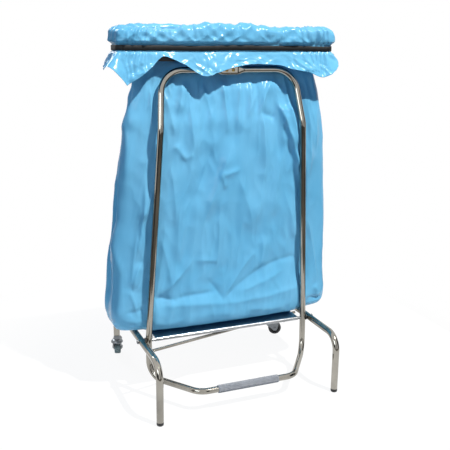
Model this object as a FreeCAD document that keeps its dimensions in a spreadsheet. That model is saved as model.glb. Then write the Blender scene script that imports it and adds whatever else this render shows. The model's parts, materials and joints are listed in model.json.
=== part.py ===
import FreeCAD, Part
import math
import os
import Sketcher

# Pedal bin bag holder: two bent tube side frames on casters, a pedal loop that swings on an axle,
# a sheet tray, two jaws that grip a film bag, and the rubber band round them.
# Laid out from the floor midway between the two front feet: +X right, +Y to the rear, +Z up, in
# millimetres. The finished pieces are then moved so that the origin is under the stand's middle.

SIZES = [
    ("standMiddle", 233),
    # base frame
    ("frameWidth", 484),
    ("frameDepth", 419),
    ("railHeight", 157),
    ("tubeDia", 18),
    ("tubeWall", 1.5),
    ("frameBend", 42),
    ("rearLegFoot", 68),
    ("weldGap", 0.2),
    # rear cross tube and diagonal brace
    ("crossTubeY", 368),
    ("braceDia", 8),
    ("braceFrontY", 112),
    ("braceRearY", 226),
    # front feet
    ("footHeight", 9),
    ("footInset", 28),
    ("fitGap", 0.1),
    # pivot axle
    ("pivotY", 153),
    ("axleDia", 8),
    ("axleGap", 0.05),
    ("nutDia", 12),
    ("nutLength", 4),
    ("washerDia", 16),
    ("runGap", 0.3),
    # pedal loop
    ("loopDia", 16),
    ("loopWall", 1.5),
    ("sideGap", 2),
    ("pedalY", 21),
    ("pedalHeight", 57),
    ("pedalHalf", 131),
    ("heelY", 150),
    ("lowerBend", 45),
    ("setBend", 300),
    ("topHeight", 834.5),
    ("kneeHalf", 190.5),
    ("kneeY", 134),
    ("kneeDrop", 133.5),
    ("kneeHeight", "=topHeight - kneeDrop"),
    ("upperBend", 60),
    ("topHalf", 176.5),
    ("flatHalf", 20),
    ("flatTaper", 18),
    ("flatThick", 5),
    ("flatTall", 22),
    # pedal sleeve
    ("sleeveDia", 20.4),
    ("sleeveLength", 168),
    ("ribCount", 24),
    ("ribDepth", 0.9),
    ("ribWidth", 1.2),
    # jaws
    ("mouthY", 194),
    ("jawLength", 566),
    ("jawHeight", 62),
    ("jawLift", 21.5),
    ("jawFoot", "=topHeight + jawLift"),
    ("jawReach", 33),
    ("jawBar", 18),
    ("jawReturn", 43),
    ("jawPart", 1),
    ("jawWall", 3),
    ("jawCorner", 14),
    ("jawBrow", 2),
    ("jawRibs", 9),
    ("lugHalf", 19),
    ("lugThick", 5),
    ("lugDrop", 33),
    ("rivetDia", 4.8),
    ("rivetPitch", 18),
    ("rivetHead", 9),
    ("rivetProud", 1.8),
    # rear hoop
    ("hoopHalf", 200),
    ("hoopTopHalf", 176.5),
    # tray
    ("traySheet", 1.2),
    ("trayWidth", 412),
    ("trayFlange", 10),
    ("trayNotch", 4),
    ("screwDia", 4),
    ("screwHead", 8),
    ("screwPitch", 300),
    # casters
    ("wheelDia", 40),
    ("wheelWidth", 18),
    ("casterTrail", 26),
    ("forkGap", 1),
    ("forkSheet", 2),
    ("crownTop", 47),
    ("headDia", 34),
    ("domeHeight", 9.5),
    ("stemDia", 10),
    ("raceDia", 15.2),
    ("ballDia", 3.6),
    ("boltDia", 6),
    ("boltHead", 10),
    ("pinDia", 3),
    ("camNose", 4.4),
    ("tabLength", 22),
    ("treadDeep", 5),
    ("leftSwivel", 163),
    ("rightSwivel", 72),
    # band and film
    ("bandWidth", 12),
    ("bandThick", 1.5),
    ("filmThick", 1.2),
    ("filmGap", 0.4),
    ("filmLift", 0.3),
    ("bagOverhang", 57),
    ("bagHalf", "=frameWidth / 2 + bagOverhang"),
]

doc = FreeCAD.newDocument("BagHolder")
sheet = doc.addObject("Spreadsheet::Sheet", "Sizes")
for row, (alias, value) in enumerate(SIZES, start=1):
    sheet.set("A%d" % row, alias)
    sheet.set("B%d" % row, str(value))
    sheet.setAlias("B%d" % row, alias)
doc.recompute()


def mm(alias):
    """Value of one driving dimension."""
    return float(getattr(sheet, alias))


def number(expression):
    """Value of an expression on the sheet, used as a sketch's starting geometry."""
    return float(sheet.evalExpression(expression))


def newBody(label, place=None):
    body = doc.addObject("PartDesign::Body", label)
    body.Label = label
    if place is not None:
        body.Placement = place
    return body


def originPart(body, role):
    """One of the body's own origin planes or axes."""
    return [item for item in body.Origin.OriginFeatures if item.Role == role][0]


def newSketch(body, role, name):
    """Sketch on one of the body's own origin planes."""
    sketch = body.newObject("Sketcher::SketchObject", name)
    sketch.AttachmentSupport = [(originPart(body, role), "")]
    sketch.MapMode = "FlatFace"
    return sketch


def bind(sketch, kind, refs, expression):
    """Dimension constraint whose value follows the sheet."""
    index = sketch.addConstraint(Sketcher.Constraint(kind, *refs, number(expression)))
    sketch.setExpression("Constraints[%d]" % index, expression)


def pin(sketch, geometry, point, x, y):
    """Hold one point of the sketch at x, y, both expressions on the sheet."""
    bind(sketch, "DistanceX", (-1, 1, geometry, point), x)
    bind(sketch, "DistanceY", (-1, 1, geometry, point), y)


def circle(sketch, x, y, radius):
    centre = FreeCAD.Vector(number(x), number(y), 0)
    normal = FreeCAD.Vector(0, 0, 1)
    index = sketch.addGeometry(Part.Circle(centre, normal, number(radius)), False)
    pin(sketch, index, 3, x, y)
    bind(sketch, "Radius", (index,), radius)
    return index


def polygon(sketch, corners):
    """Closed outline of straight lines through the corners, each a pair of expressions."""
    points = [FreeCAD.Vector(number(x), number(y), 0) for x, y in corners]
    lines = []
    for start, end in zip(points, points[1:] + points[:1]):
        lines.append(sketch.addGeometry(Part.LineSegment(start, end), False))
    for index, line in enumerate(lines):
        follower = lines[(index + 1) % len(lines)]
        sketch.addConstraint(Sketcher.Constraint("Coincident", line, 2, follower, 1))
        pin(sketch, line, 1, *corners[index])
    return lines


def pad(body, sketch, length, midplane=False, reverse=False, name="Pad"):
    feature = body.newObject("PartDesign::Pad", name)
    feature.Profile = sketch
    feature.setExpression("Length", length)
    feature.Midplane = midplane
    feature.Reversed = reverse
    return feature


def pocket(body, sketch, length=None, midplane=False, reverse=False, name="Pocket"):
    """Cut through everything, or to a depth where a length is given."""
    feature = body.newObject("PartDesign::Pocket", name)
    feature.Profile = sketch
    if length is None:
        feature.Type = "ThroughAll"
    else:
        feature.setExpression("Length", length)
    feature.Midplane = midplane
    feature.Reversed = reverse
    return feature


def revolve(body, sketch, name="Revolution"):
    """Full turn about the sketch's own vertical axis."""
    feature = body.newObject("PartDesign::Revolution", name)
    feature.Profile = sketch
    feature.ReferenceAxis = (sketch, ["V_Axis"])
    feature.Angle = 360
    return feature


def edgesWhere(shape, test):
    """Names of the shape's edges whose middle point passes the test."""
    names = []
    for index, edge in enumerate(shape.Edges, start=1):
        if test(edge.CenterOfMass, edge):
            names.append("Edge%d" % index)
    return names


def isUpright(edge):
    low = edge.BoundBox
    return low.XLength < 1e-4 and low.YLength < 1e-4 and low.ZLength > 1e-3


def fillet(body, test, radius, name):
    """Round the tip's edges that pass the test."""
    tip = body.Tip
    rounding = body.newObject("PartDesign::Fillet", name)
    rounding.Base = (tip, edgesWhere(tip.Shape, test))
    rounding.setExpression("Radius", radius)
    doc.recompute()
    return rounding


def setShape(label, shape, place=None):
    """Piece whose form no sketched feature gives, such as a tube bent in three dimensions."""
    feature = doc.addObject("Part::Feature", label)
    feature.Label = label
    feature.Shape = shape
    if place is not None:
        feature.Placement = place
    return feature


def moved(x, y, z, turn=0):
    """Placement at x, y, z, turned about Z by an angle in degrees."""
    return FreeCAD.Placement(
        FreeCAD.Vector(x, y, z), FreeCAD.Rotation(FreeCAD.Vector(0, 0, 1), turn)
    )


def bentPath(corners, bends):
    """Wire through the corners, with an arc of its own radius at each inner one."""
    points = [FreeCAD.Vector(*corner) for corner in corners]
    edges = []
    last = points[0]
    for before, corner, after, bend in zip(points, points[1:], points[2:], bends):
        toBefore = (before - corner).normalize()
        toAfter = (after - corner).normalize()
        half = (math.pi - toBefore.getAngle(toAfter)) / 2
        setback = bend * math.tan(half)
        start = corner + toBefore * setback
        end = corner + toAfter * setback
        inward = (toBefore + toAfter).normalize()
        middle = corner + inward * (bend / math.cos(half) - bend)
        edges.append(Part.LineSegment(last, start).toShape())
        edges.append(Part.Arc(start, middle, end).toShape())
        last = end
    edges.append(Part.LineSegment(last, points[-1]).toShape())
    return Part.Wire(edges)


def rod(path, radius):
    """Solid round bar along a wire."""
    first = path.Edges[0]
    start = first.valueAt(first.FirstParameter)
    along = first.tangentAt(first.FirstParameter)
    section = Part.Wire(Part.Circle(start, along, radius).toShape())
    return path.makePipeShell([section], True, True)


def squashed(x, y, z, tall, thick, corner):
    """Closed section across X: two upright sides and two arcs, round where tall equals thick."""
    side = tall / 2 - corner
    dy = thick / 2
    bow = tall / 2
    a = FreeCAD.Vector(x, y - dy, z - side)
    b = FreeCAD.Vector(x, y - dy, z + side)
    c = FreeCAD.Vector(x, y + dy, z + side)
    d = FreeCAD.Vector(x, y + dy, z - side)
    top = FreeCAD.Vector(x, y, z + bow)
    foot = FreeCAD.Vector(x, y, z - bow)
    edges = [
        Part.LineSegment(a, b).toShape(),
        Part.Arc(b, top, c).toShape(),
        Part.LineSegment(c, d).toShape(),
        Part.Arc(d, foot, a).toShape(),
    ]
    return Part.Wire(edges)


def roundSection(x, y, z, radius):
    """Circle across X in the same four pieces as the squashed section."""
    def at(angle):
        turn = math.radians(angle)
        return FreeCAD.Vector(x, y + radius * math.cos(turn), z + radius * math.sin(turn))

    marks = [(225, 180, 135), (135, 90, 45), (45, 0, -45), (-45, -90, -135)]
    return Part.Wire([Part.Arc(at(a), at(b), at(c)).toShape() for a, b, c in marks])


def halfHoop(corners, bends, inset):
    """Right half of a hoop: bent bar, taper and flat, all smaller by the inset."""
    radius = mm("loopDia") / 2 - inset
    tall = mm("flatTall") - 2 * inset
    thick = mm("flatThick") - 2 * inset
    flatEnd = mm("flatHalf")
    roundEnd = flatEnd + mm("flatTaper")
    y, z = corners[0][1], corners[0][2]
    bar = rod(bentPath([(roundEnd, y, z)] + corners[1:], bends), radius)
    flatOuter = squashed(flatEnd, y, z, tall, thick, thick / 2)
    taper = Part.makeLoft([roundSection(roundEnd, y, z, radius), flatOuter], True, True)
    flat = Part.Face(squashed(0, y, z, tall, thick, thick / 2)).extrude(FreeCAD.Vector(flatEnd, 0, 0))
    return bar.fuse([taper, flat])


def tubeHoop(corners, bends):
    """Tube hoop, mirrored about the middle, with its top bar squashed flat at the centre."""
    half = halfHoop(corners, bends, 0).cut(halfHoop(corners, bends, mm("loopWall")))
    whole = half.fuse(half.mirror(FreeCAD.Vector(0, 0, 0), FreeCAD.Vector(1, 0, 0)))
    return whole.removeSplitter()


def rivetHoles(shape, y):
    """Two holes through the flat, along Y."""
    radius = mm("rivetDia") / 2 + mm("axleGap")
    for side in (-1, 1):
        start = FreeCAD.Vector(side * mm("rivetPitch") / 2, y - mm("loopDia"), mm("topHeight"))
        hole = Part.makeCylinder(radius, 2 * mm("loopDia"), start, FreeCAD.Vector(0, 1, 0))
        shape = shape.cut(hole)
    return shape


RAIL_HALF = "Sizes.frameWidth / 2"
TUBE_RADIUS = "Sizes.tubeDia / 2"
TUBE_BORE = "Sizes.tubeDia / 2 - Sizes.tubeWall"
AXLE_HOLE = "Sizes.axleDia / 2 + Sizes.axleGap"
SCREW_HOLE = "Sizes.screwDia / 2 + Sizes.axleGap"
PLATE_UNDER = "(Sizes.railHeight + Sizes.axleDia / 2 + Sizes.fitGap)"
CROSS_HEIGHT = "(" + PLATE_UNDER + " - Sizes.fitGap - Sizes.tubeDia / 2)"


def sideFrame(label, side):
    """Front leg, rail and rear leg bent from one tube, with the pivot hole across the rail."""
    body = newBody(label, moved(side * mm("frameWidth") / 2, 0, 0))
    spine = newSketch(body, "YZ_Plane", label + "Spine")
    foot, rail, bend = mm("footHeight"), mm("railHeight"), mm("frameBend")
    depth, low = mm("frameDepth"), mm("rearLegFoot")
    vector = FreeCAD.Vector
    up = vector(0, 0, 1)
    front = spine.addGeometry(Part.LineSegment(vector(0, foot, 0), vector(0, rail - bend, 0)), False)
    bow = Part.Circle(vector(bend, rail - bend, 0), up, bend)
    frontBend = spine.addGeometry(Part.ArcOfCircle(bow, math.pi / 2, math.pi), False)
    along = Part.LineSegment(vector(bend, rail, 0), vector(depth - bend, rail, 0))
    top = spine.addGeometry(along, False)
    bow = Part.Circle(vector(depth - bend, rail - bend, 0), up, bend)
    rearBend = spine.addGeometry(Part.ArcOfCircle(bow, 0, math.pi / 2), False)
    drop = Part.LineSegment(vector(depth, rail - bend, 0), vector(depth, low, 0))
    rear = spine.addGeometry(drop, False)
    joins = ((front, 2, frontBend, 2), (frontBend, 1, top, 1), (top, 2, rearBend, 2), (rearBend, 1, rear, 1))
    for refs in joins:
        spine.addConstraint(Sketcher.Constraint("Tangent", *refs))
    spine.addConstraint(Sketcher.Constraint("Vertical", front))
    spine.addConstraint(Sketcher.Constraint("Vertical", rear))
    spine.addConstraint(Sketcher.Constraint("Horizontal", top))
    spine.addConstraint(Sketcher.Constraint("PointOnObject", front, 1, -2))
    bind(spine, "DistanceY", (-1, 1, front, 1), "Sizes.footHeight")
    bind(spine, "DistanceY", (-1, 1, top, 1), "Sizes.railHeight")
    bind(spine, "DistanceX", (-1, 1, rear, 2), "Sizes.frameDepth")
    bind(spine, "DistanceY", (-1, 1, rear, 2), "Sizes.rearLegFoot")
    bind(spine, "Radius", (frontBend,), "Sizes.frameBend")
    bind(spine, "Radius", (rearBend,), "Sizes.frameBend")
    ring = newSketch(body, "XY_Plane", label + "Ring")
    ring.setExpression("AttachmentOffset.Base.z", "Sizes.footHeight")
    circle(ring, "0", "0", TUBE_RADIUS)
    circle(ring, "0", "0", TUBE_BORE)
    doc.recompute()
    tube = body.newObject("PartDesign::AdditivePipe", label + "Tube")
    tube.Profile = ring
    tube.Spine = spine
    doc.recompute()
    hole = newSketch(body, "YZ_Plane", label + "Hole")
    circle(hole, "Sizes.pivotY", "Sizes.railHeight", AXLE_HOLE)
    pocket(body, hole, midplane=True, name=label + "AxleHole")
    return body


def crossTube():
    """Rear cross tube, its ends coped to the rails, with pilot holes for the tray screws."""
    body = newBody("rear_cross_tube")
    ring = newSketch(body, "YZ_Plane", "CrossRing")
    circle(ring, "Sizes.crossTubeY", CROSS_HEIGHT, TUBE_RADIUS)
    circle(ring, "Sizes.crossTubeY", CROSS_HEIGHT, TUBE_BORE)
    pad(body, ring, "Sizes.frameWidth", midplane=True, name="CrossPad")
    cope = newSketch(body, "XZ_Plane", "CrossCope")
    for side in ("", "-"):
        circle(cope, side + RAIL_HALF, "Sizes.railHeight", TUBE_RADIUS + " + Sizes.weldGap")
    pocket(body, cope, midplane=True, name="CrossCopes")
    pilot = newSketch(body, "XY_Plane", "CrossPilot")
    pilot.setExpression("AttachmentOffset.Base.z", CROSS_HEIGHT)
    for side in ("", "-"):
        circle(pilot, side + "Sizes.screwPitch / 2", "Sizes.crossTubeY", SCREW_HOLE)
    pocket(body, pilot, TUBE_RADIUS + " + 1", reverse=True, name="CrossPilots")
    return body


def brace():
    """Straight rod welded under both rails, further back on the right."""
    half = mm("frameWidth") / 2
    run = mm("braceRearY") - mm("braceFrontY")
    height = mm("railHeight") - mm("tubeDia") / 2 - mm("weldGap") - mm("braceDia") / 2
    turn = math.degrees(math.atan2(run, 2 * half))
    body = newBody("brace_rod", moved(-half, mm("braceFrontY"), height, turn))
    section = newSketch(body, "YZ_Plane", "BraceSection")
    circle(section, "0", "0", "Sizes.braceDia / 2")
    bar = pad(body, section, "Sizes.frameWidth", name="BracePad")
    bar.setExpression("Length", "sqrt(Sizes.frameWidth ^ 2 + (Sizes.braceRearY - Sizes.braceFrontY) ^ 2)")
    return body


def footCap(label, side):
    """Glide with a rounded foot, and a spigot up the leg."""
    body = newBody(label, moved(side * mm("frameWidth") / 2, 0, 0))
    outline = newSketch(body, "XZ_Plane", label + "Outline")
    spigot = TUBE_BORE + " - Sizes.fitGap"
    top = "Sizes.footHeight + Sizes.footInset"
    polygon(
        outline,
        [
            ("0", "0"),
            (TUBE_RADIUS + " - 3", "0"),
            (TUBE_RADIUS + " - 0.8", "1.6"),
            (TUBE_RADIUS, "4"),
            (TUBE_RADIUS, "Sizes.footHeight"),
            (spigot, "Sizes.footHeight"),
            (spigot, top + " - 2"),
            (spigot + " - 1", top),
            ("0", top),
        ],
    )
    revolve(body, outline, label + "Turned")
    return body


def mirroredPair(label, body):
    """The piece and its mirror image across the middle, two solids in one node."""
    twin = doc.addObject("Part::Mirroring", label + "Twin")
    twin.Source = body
    twin.Normal = FreeCAD.Vector(1, 0, 0)
    pair = doc.addObject("Part::Compound", label)
    pair.Label = label
    pair.Links = [body, twin]
    return pair


def pivotAxle():
    body = newBody("pivot_axle")
    section = newSketch(body, "YZ_Plane", "AxleSection")
    circle(section, "Sizes.pivotY", "Sizes.railHeight", "Sizes.axleDia / 2")
    pad(body, section, "Sizes.frameWidth + Sizes.tubeDia + Sizes.nutLength", midplane=True, name="AxlePad")
    return body


def axleNuts():
    """Dome push nuts on the two ends of the axle."""
    face = mm("frameWidth") / 2 + mm("tubeDia") / 2 + mm("fitGap")
    place = FreeCAD.Placement(
        FreeCAD.Vector(face, mm("pivotY"), mm("railHeight")), FreeCAD.Rotation(FreeCAD.Vector(0, 1, 0), 90)
    )
    body = newBody("AxleNut", place)
    outline = newSketch(body, "XZ_Plane", "AxleNutOutline")
    deep = "Sizes.nutLength / 2 - Sizes.fitGap + Sizes.axleGap"
    polygon(
        outline,
        [
            ("0", deep),
            (AXLE_HOLE, deep),
            (AXLE_HOLE, "0"),
            ("Sizes.nutDia / 2", "0"),
            ("Sizes.nutDia / 2", "Sizes.nutLength / 3"),
            ("Sizes.nutDia / 2 - 1.6", "Sizes.nutLength * 0.8"),
            ("Sizes.nutDia / 2 - 4", "Sizes.nutLength"),
            ("0", "Sizes.nutLength"),
        ],
    )
    revolve(body, outline, "AxleNutTurned")
    return mirroredPair("axle_nuts", body)


def pivotWashers():
    """Washers between the rails and the swinging uprights."""
    body = newBody("PivotWasher")
    ring = newSketch(body, "YZ_Plane", "PivotWasherRing")
    inner = RAIL_HALF + " - Sizes.tubeDia / 2 - Sizes.sideGap + Sizes.runGap"
    ring.setExpression("AttachmentOffset.Base.z", inner)
    circle(ring, "Sizes.pivotY", "Sizes.railHeight", "Sizes.washerDia / 2")
    circle(ring, "Sizes.pivotY", "Sizes.railHeight", AXLE_HOLE)
    pad(body, ring, "Sizes.sideGap - Sizes.runGap - Sizes.fitGap", name="PivotWasherPad")
    return mirroredPair("pivot_washers", body)


def tray():
    """One folded sheet: front hem rolled round the axle, flat shelf, rear curl over the cross tube."""
    body = newBody("tray")
    section = newSketch(body, "YZ_Plane", "TraySection")
    hem = "(Sizes.axleDia / 2 + Sizes.fitGap)"
    curl = "(Sizes.tubeDia / 2 + Sizes.fitGap)"
    hemOuter = "(" + hem + " + Sizes.traySheet)"
    curlOuter = "(" + curl + " + Sizes.traySheet)"
    hemEnd, curlEnd = math.radians(320), math.radians(-30)
    up = FreeCAD.Vector(0, 0, 1)
    axle = FreeCAD.Vector(mm("pivotY"), mm("railHeight"), 0)
    cross = FreeCAD.Vector(mm("crossTubeY"), number(CROSS_HEIGHT), 0)

    def bow(centre, radius, start, end):
        return section.addGeometry(
            Part.ArcOfCircle(Part.Circle(centre, up, number(radius)), start, end), False
        )

    def polar(centre, radius, angle):
        return centre + FreeCAD.Vector(math.cos(angle), math.sin(angle), 0) * number(radius)

    def straight(start, end):
        return section.addGeometry(Part.LineSegment(start, end), False)

    quarter = math.pi / 2
    under = straight(polar(axle, hem, quarter), polar(cross, curl, quarter))
    curlIn = bow(cross, curl, curlEnd, quarter)
    curlLip = straight(polar(cross, curl, curlEnd), polar(cross, curlOuter, curlEnd))
    curlOut = bow(cross, curlOuter, curlEnd, quarter)
    over = straight(polar(cross, curlOuter, quarter), polar(axle, hemOuter, quarter))
    hemOut = bow(axle, hemOuter, quarter, hemEnd)
    hemLip = straight(polar(axle, hemOuter, hemEnd), polar(axle, hem, hemEnd))
    hemIn = bow(axle, hem, quarter, hemEnd)
    joins = (
        (under, 2, curlIn, 2), (curlIn, 1, curlLip, 1), (curlLip, 2, curlOut, 1), (curlOut, 2, over, 1),
        (over, 2, hemOut, 1), (hemOut, 2, hemLip, 1), (hemLip, 2, hemIn, 2), (hemIn, 1, under, 1),
    )
    for refs in joins:
        section.addConstraint(Sketcher.Constraint("Coincident", *refs))
    for arc, radius in ((curlIn, curl), (curlOut, curlOuter)):
        pin(section, arc, 3, "Sizes.crossTubeY", CROSS_HEIGHT)
        bind(section, "Radius", (arc,), radius)
        bind(section, "DistanceX", (-1, 1, arc, 2), "Sizes.crossTubeY")
        bind(section, "DistanceX", (-1, 1, arc, 1), "Sizes.crossTubeY + " + radius + " * cos(30 deg)")
    for arc, radius in ((hemIn, hem), (hemOut, hemOuter)):
        pin(section, arc, 3, "Sizes.pivotY", "Sizes.railHeight")
        bind(section, "Radius", (arc,), radius)
        bind(section, "DistanceX", (-1, 1, arc, 1), "Sizes.pivotY")
        bind(section, "DistanceX", (-1, 1, arc, 2), "Sizes.pivotY + " + radius + " * cos(40 deg)")
    pad(body, section, "Sizes.trayWidth", midplane=True, name="TrayPad")
    doc.recompute()
    flange = newSketch(body, "YZ_Plane", "TrayFlange")
    flange.setExpression("AttachmentOffset.Base.z", "Sizes.trayWidth / 2 - Sizes.traySheet")
    start = "Sizes.pivotY + Sizes.axleDia + Sizes.trayFlange"
    end = "Sizes.crossTubeY - Sizes.tubeDia / 2 - Sizes.trayFlange"
    low = PLATE_UNDER + " - Sizes.trayFlange"
    slope = "Sizes.trayFlange / 2"
    polygon(
        flange,
        [
            (start, PLATE_UNDER + " + Sizes.traySheet / 2"),
            (start, PLATE_UNDER),
            (start + " + " + slope, low),
            (end + " - " + slope, low),
            (end, PLATE_UNDER),
            (end, PLATE_UNDER + " + Sizes.traySheet / 2"),
        ],
    )
    side = pad(body, flange, "Sizes.traySheet", name="TrayFlangePad")
    doc.recompute()
    twin = body.newObject("PartDesign::Mirrored", "TrayFlangeTwin")
    twin.Originals = [side]
    twin.MirrorPlane = (originPart(body, "YZ_Plane"), [""])
    body.Tip = twin
    doc.recompute()
    holes = newSketch(body, "XY_Plane", "TrayHoles")
    holes.setExpression("AttachmentOffset.Base.z", CROSS_HEIGHT)
    for side in ("", "-"):
        circle(holes, side + "Sizes.screwPitch / 2", "Sizes.crossTubeY", SCREW_HOLE)
    pocket(body, holes, curlOuter + " + 1", reverse=True, name="TrayScrewHoles")
    doc.recompute()
    notch = newSketch(body, "XY_Plane", "TrayNotch")
    notch.setExpression("AttachmentOffset.Base.z", CROSS_HEIGHT)
    hoop = "(Sizes.loopDia / 2 + Sizes.trayNotch)"
    near, far = "Sizes.crossTubeY - " + hoop, "Sizes.crossTubeY + " + curlOuter + " + 1"
    for side in ("", "-"):
        inner = side + "(Sizes.hoopHalf - " + hoop + ")"
        outer = side + "(Sizes.trayWidth / 2 + 1)"
        polygon(notch, [(inner, near), (outer, near), (outer, far), (inner, far)])
    pocket(body, notch, curlOuter + " + 1", reverse=True, name="TrayNotches")
    return body


def trayScrews():
    """Pan head screws through the tray into the cross tube."""
    top = number(PLATE_UNDER) + mm("traySheet")
    body = newBody("TrayScrew", moved(mm("screwPitch") / 2, mm("crossTubeY"), top))
    outline = newSketch(body, "XZ_Plane", "TrayScrewOutline")
    polygon(
        outline,
        [
            ("0", "-Sizes.tubeWall - Sizes.traySheet - 6"),
            ("0.6", "-Sizes.tubeWall - Sizes.traySheet - 6"),
            ("Sizes.screwDia / 2", "-Sizes.tubeWall - Sizes.traySheet - 3"),
            ("Sizes.screwDia / 2", "0"),
            ("Sizes.screwHead / 2", "0"),
            ("Sizes.screwHead / 2", "1.2"),
            ("Sizes.screwHead / 2 - 1.4", "2.4"),
            ("0", "2.8"),
        ],
    )
    revolve(body, outline, "TrayScrewTurned")
    return mirroredPair("tray_screws", body)


def pedalLoop():
    """Closed loop: pedal bar and arms in one level plane, uprights with a knee, squashed top bar."""
    pivotX = mm("frameWidth") / 2 - mm("tubeDia") / 2 - mm("sideGap") - mm("loopDia") / 2
    topY = mm("mouthY") - mm("jawReach") + mm("jawBar") / 2
    corners = [
        (0, topY, mm("topHeight")),
        (mm("topHalf"), topY, mm("topHeight")),
        (mm("kneeHalf"), mm("kneeY"), mm("kneeHeight")),
        (pivotX, mm("pivotY"), mm("railHeight")),
        (pivotX, mm("heelY"), mm("pedalHeight")),
        (mm("pedalHalf"), mm("pedalY"), mm("pedalHeight")),
        (0, mm("pedalY"), mm("pedalHeight")),
    ]
    bends = [mm("upperBend"), mm("upperBend"), mm("setBend"), mm("lowerBend"), mm("lowerBend")]
    shape = rivetHoles(tubeHoop(corners, bends), topY)
    start = FreeCAD.Vector(-mm("frameWidth") / 2, mm("pivotY"), mm("railHeight"))
    hole = Part.makeCylinder(number(AXLE_HOLE), mm("frameWidth"), start, FreeCAD.Vector(1, 0, 0))
    return setShape("pedal_loop", shape.cut(hole))


def rearHoop():
    """Leaning hoop that holds the rear jaw, its feet coped on the cross tube."""
    topY = mm("mouthY") + mm("jawReach") - mm("jawBar") / 2
    cross = number(CROSS_HEIGHT)
    corners = [
        (0, topY, mm("topHeight")),
        (mm("hoopTopHalf"), topY, mm("topHeight")),
        (mm("hoopHalf"), mm("crossTubeY"), cross),
    ]
    shape = rivetHoles(tubeHoop(corners, [mm("upperBend")]), topY)
    start = FreeCAD.Vector(-mm("frameWidth") / 2, mm("crossTubeY"), cross)
    radius = mm("tubeDia") / 2 + mm("weldGap")
    cope = Part.makeCylinder(radius, mm("frameWidth"), start, FreeCAD.Vector(1, 0, 0))
    return setShape("rear_hoop", shape.cut(cope))


def pedalSleeve():
    """Grip sleeve on the pedal bar, with flutes along it."""
    body = newBody("pedal_sleeve", moved(0, mm("pedalY"), mm("pedalHeight")))
    ring = newSketch(body, "YZ_Plane", "SleeveRing")
    circle(ring, "0", "0", "Sizes.sleeveDia / 2")
    circle(ring, "0", "0", "Sizes.loopDia / 2 + Sizes.fitGap")
    pad(body, ring, "Sizes.sleeveLength", midplane=True, name="SleevePad")
    doc.recompute()
    flute = newSketch(body, "YZ_Plane", "SleeveFlute")
    low = "Sizes.sleeveDia / 2 - Sizes.ribDepth"
    high = "Sizes.sleeveDia / 2 + 1"
    half = "Sizes.ribWidth / 2"
    polygon(flute, [("-" + half, low), (half, low), (half, high), ("-" + half, high)])
    cut = pocket(body, flute, midplane=True, name="SleeveFluteCut")
    doc.recompute()
    ribs = body.newObject("PartDesign::PolarPattern", "SleeveFlutes")
    ribs.Originals = [cut]
    ribs.Axis = (originPart(body, "X_Axis"), [""])
    ribs.Angle = 360
    ribs.setExpression("Occurrences", "Sizes.ribCount")
    body.Tip = ribs
    return body


def roundCorners(body, inset, name):
    """Round the two upright edges that lie inset from the jaw's outer corners."""
    half = number("Sizes.jawLength / 2 - " + inset)
    deep = number("Sizes.jawReach - " + inset)

    def test(centre, edge):
        return isUpright(edge) and abs(abs(centre.x) - half) < 1e-3 and abs(-centre.y - deep) < 1e-3

    fillet(body, test, "Sizes.jawCorner - " + inset, name)


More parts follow.
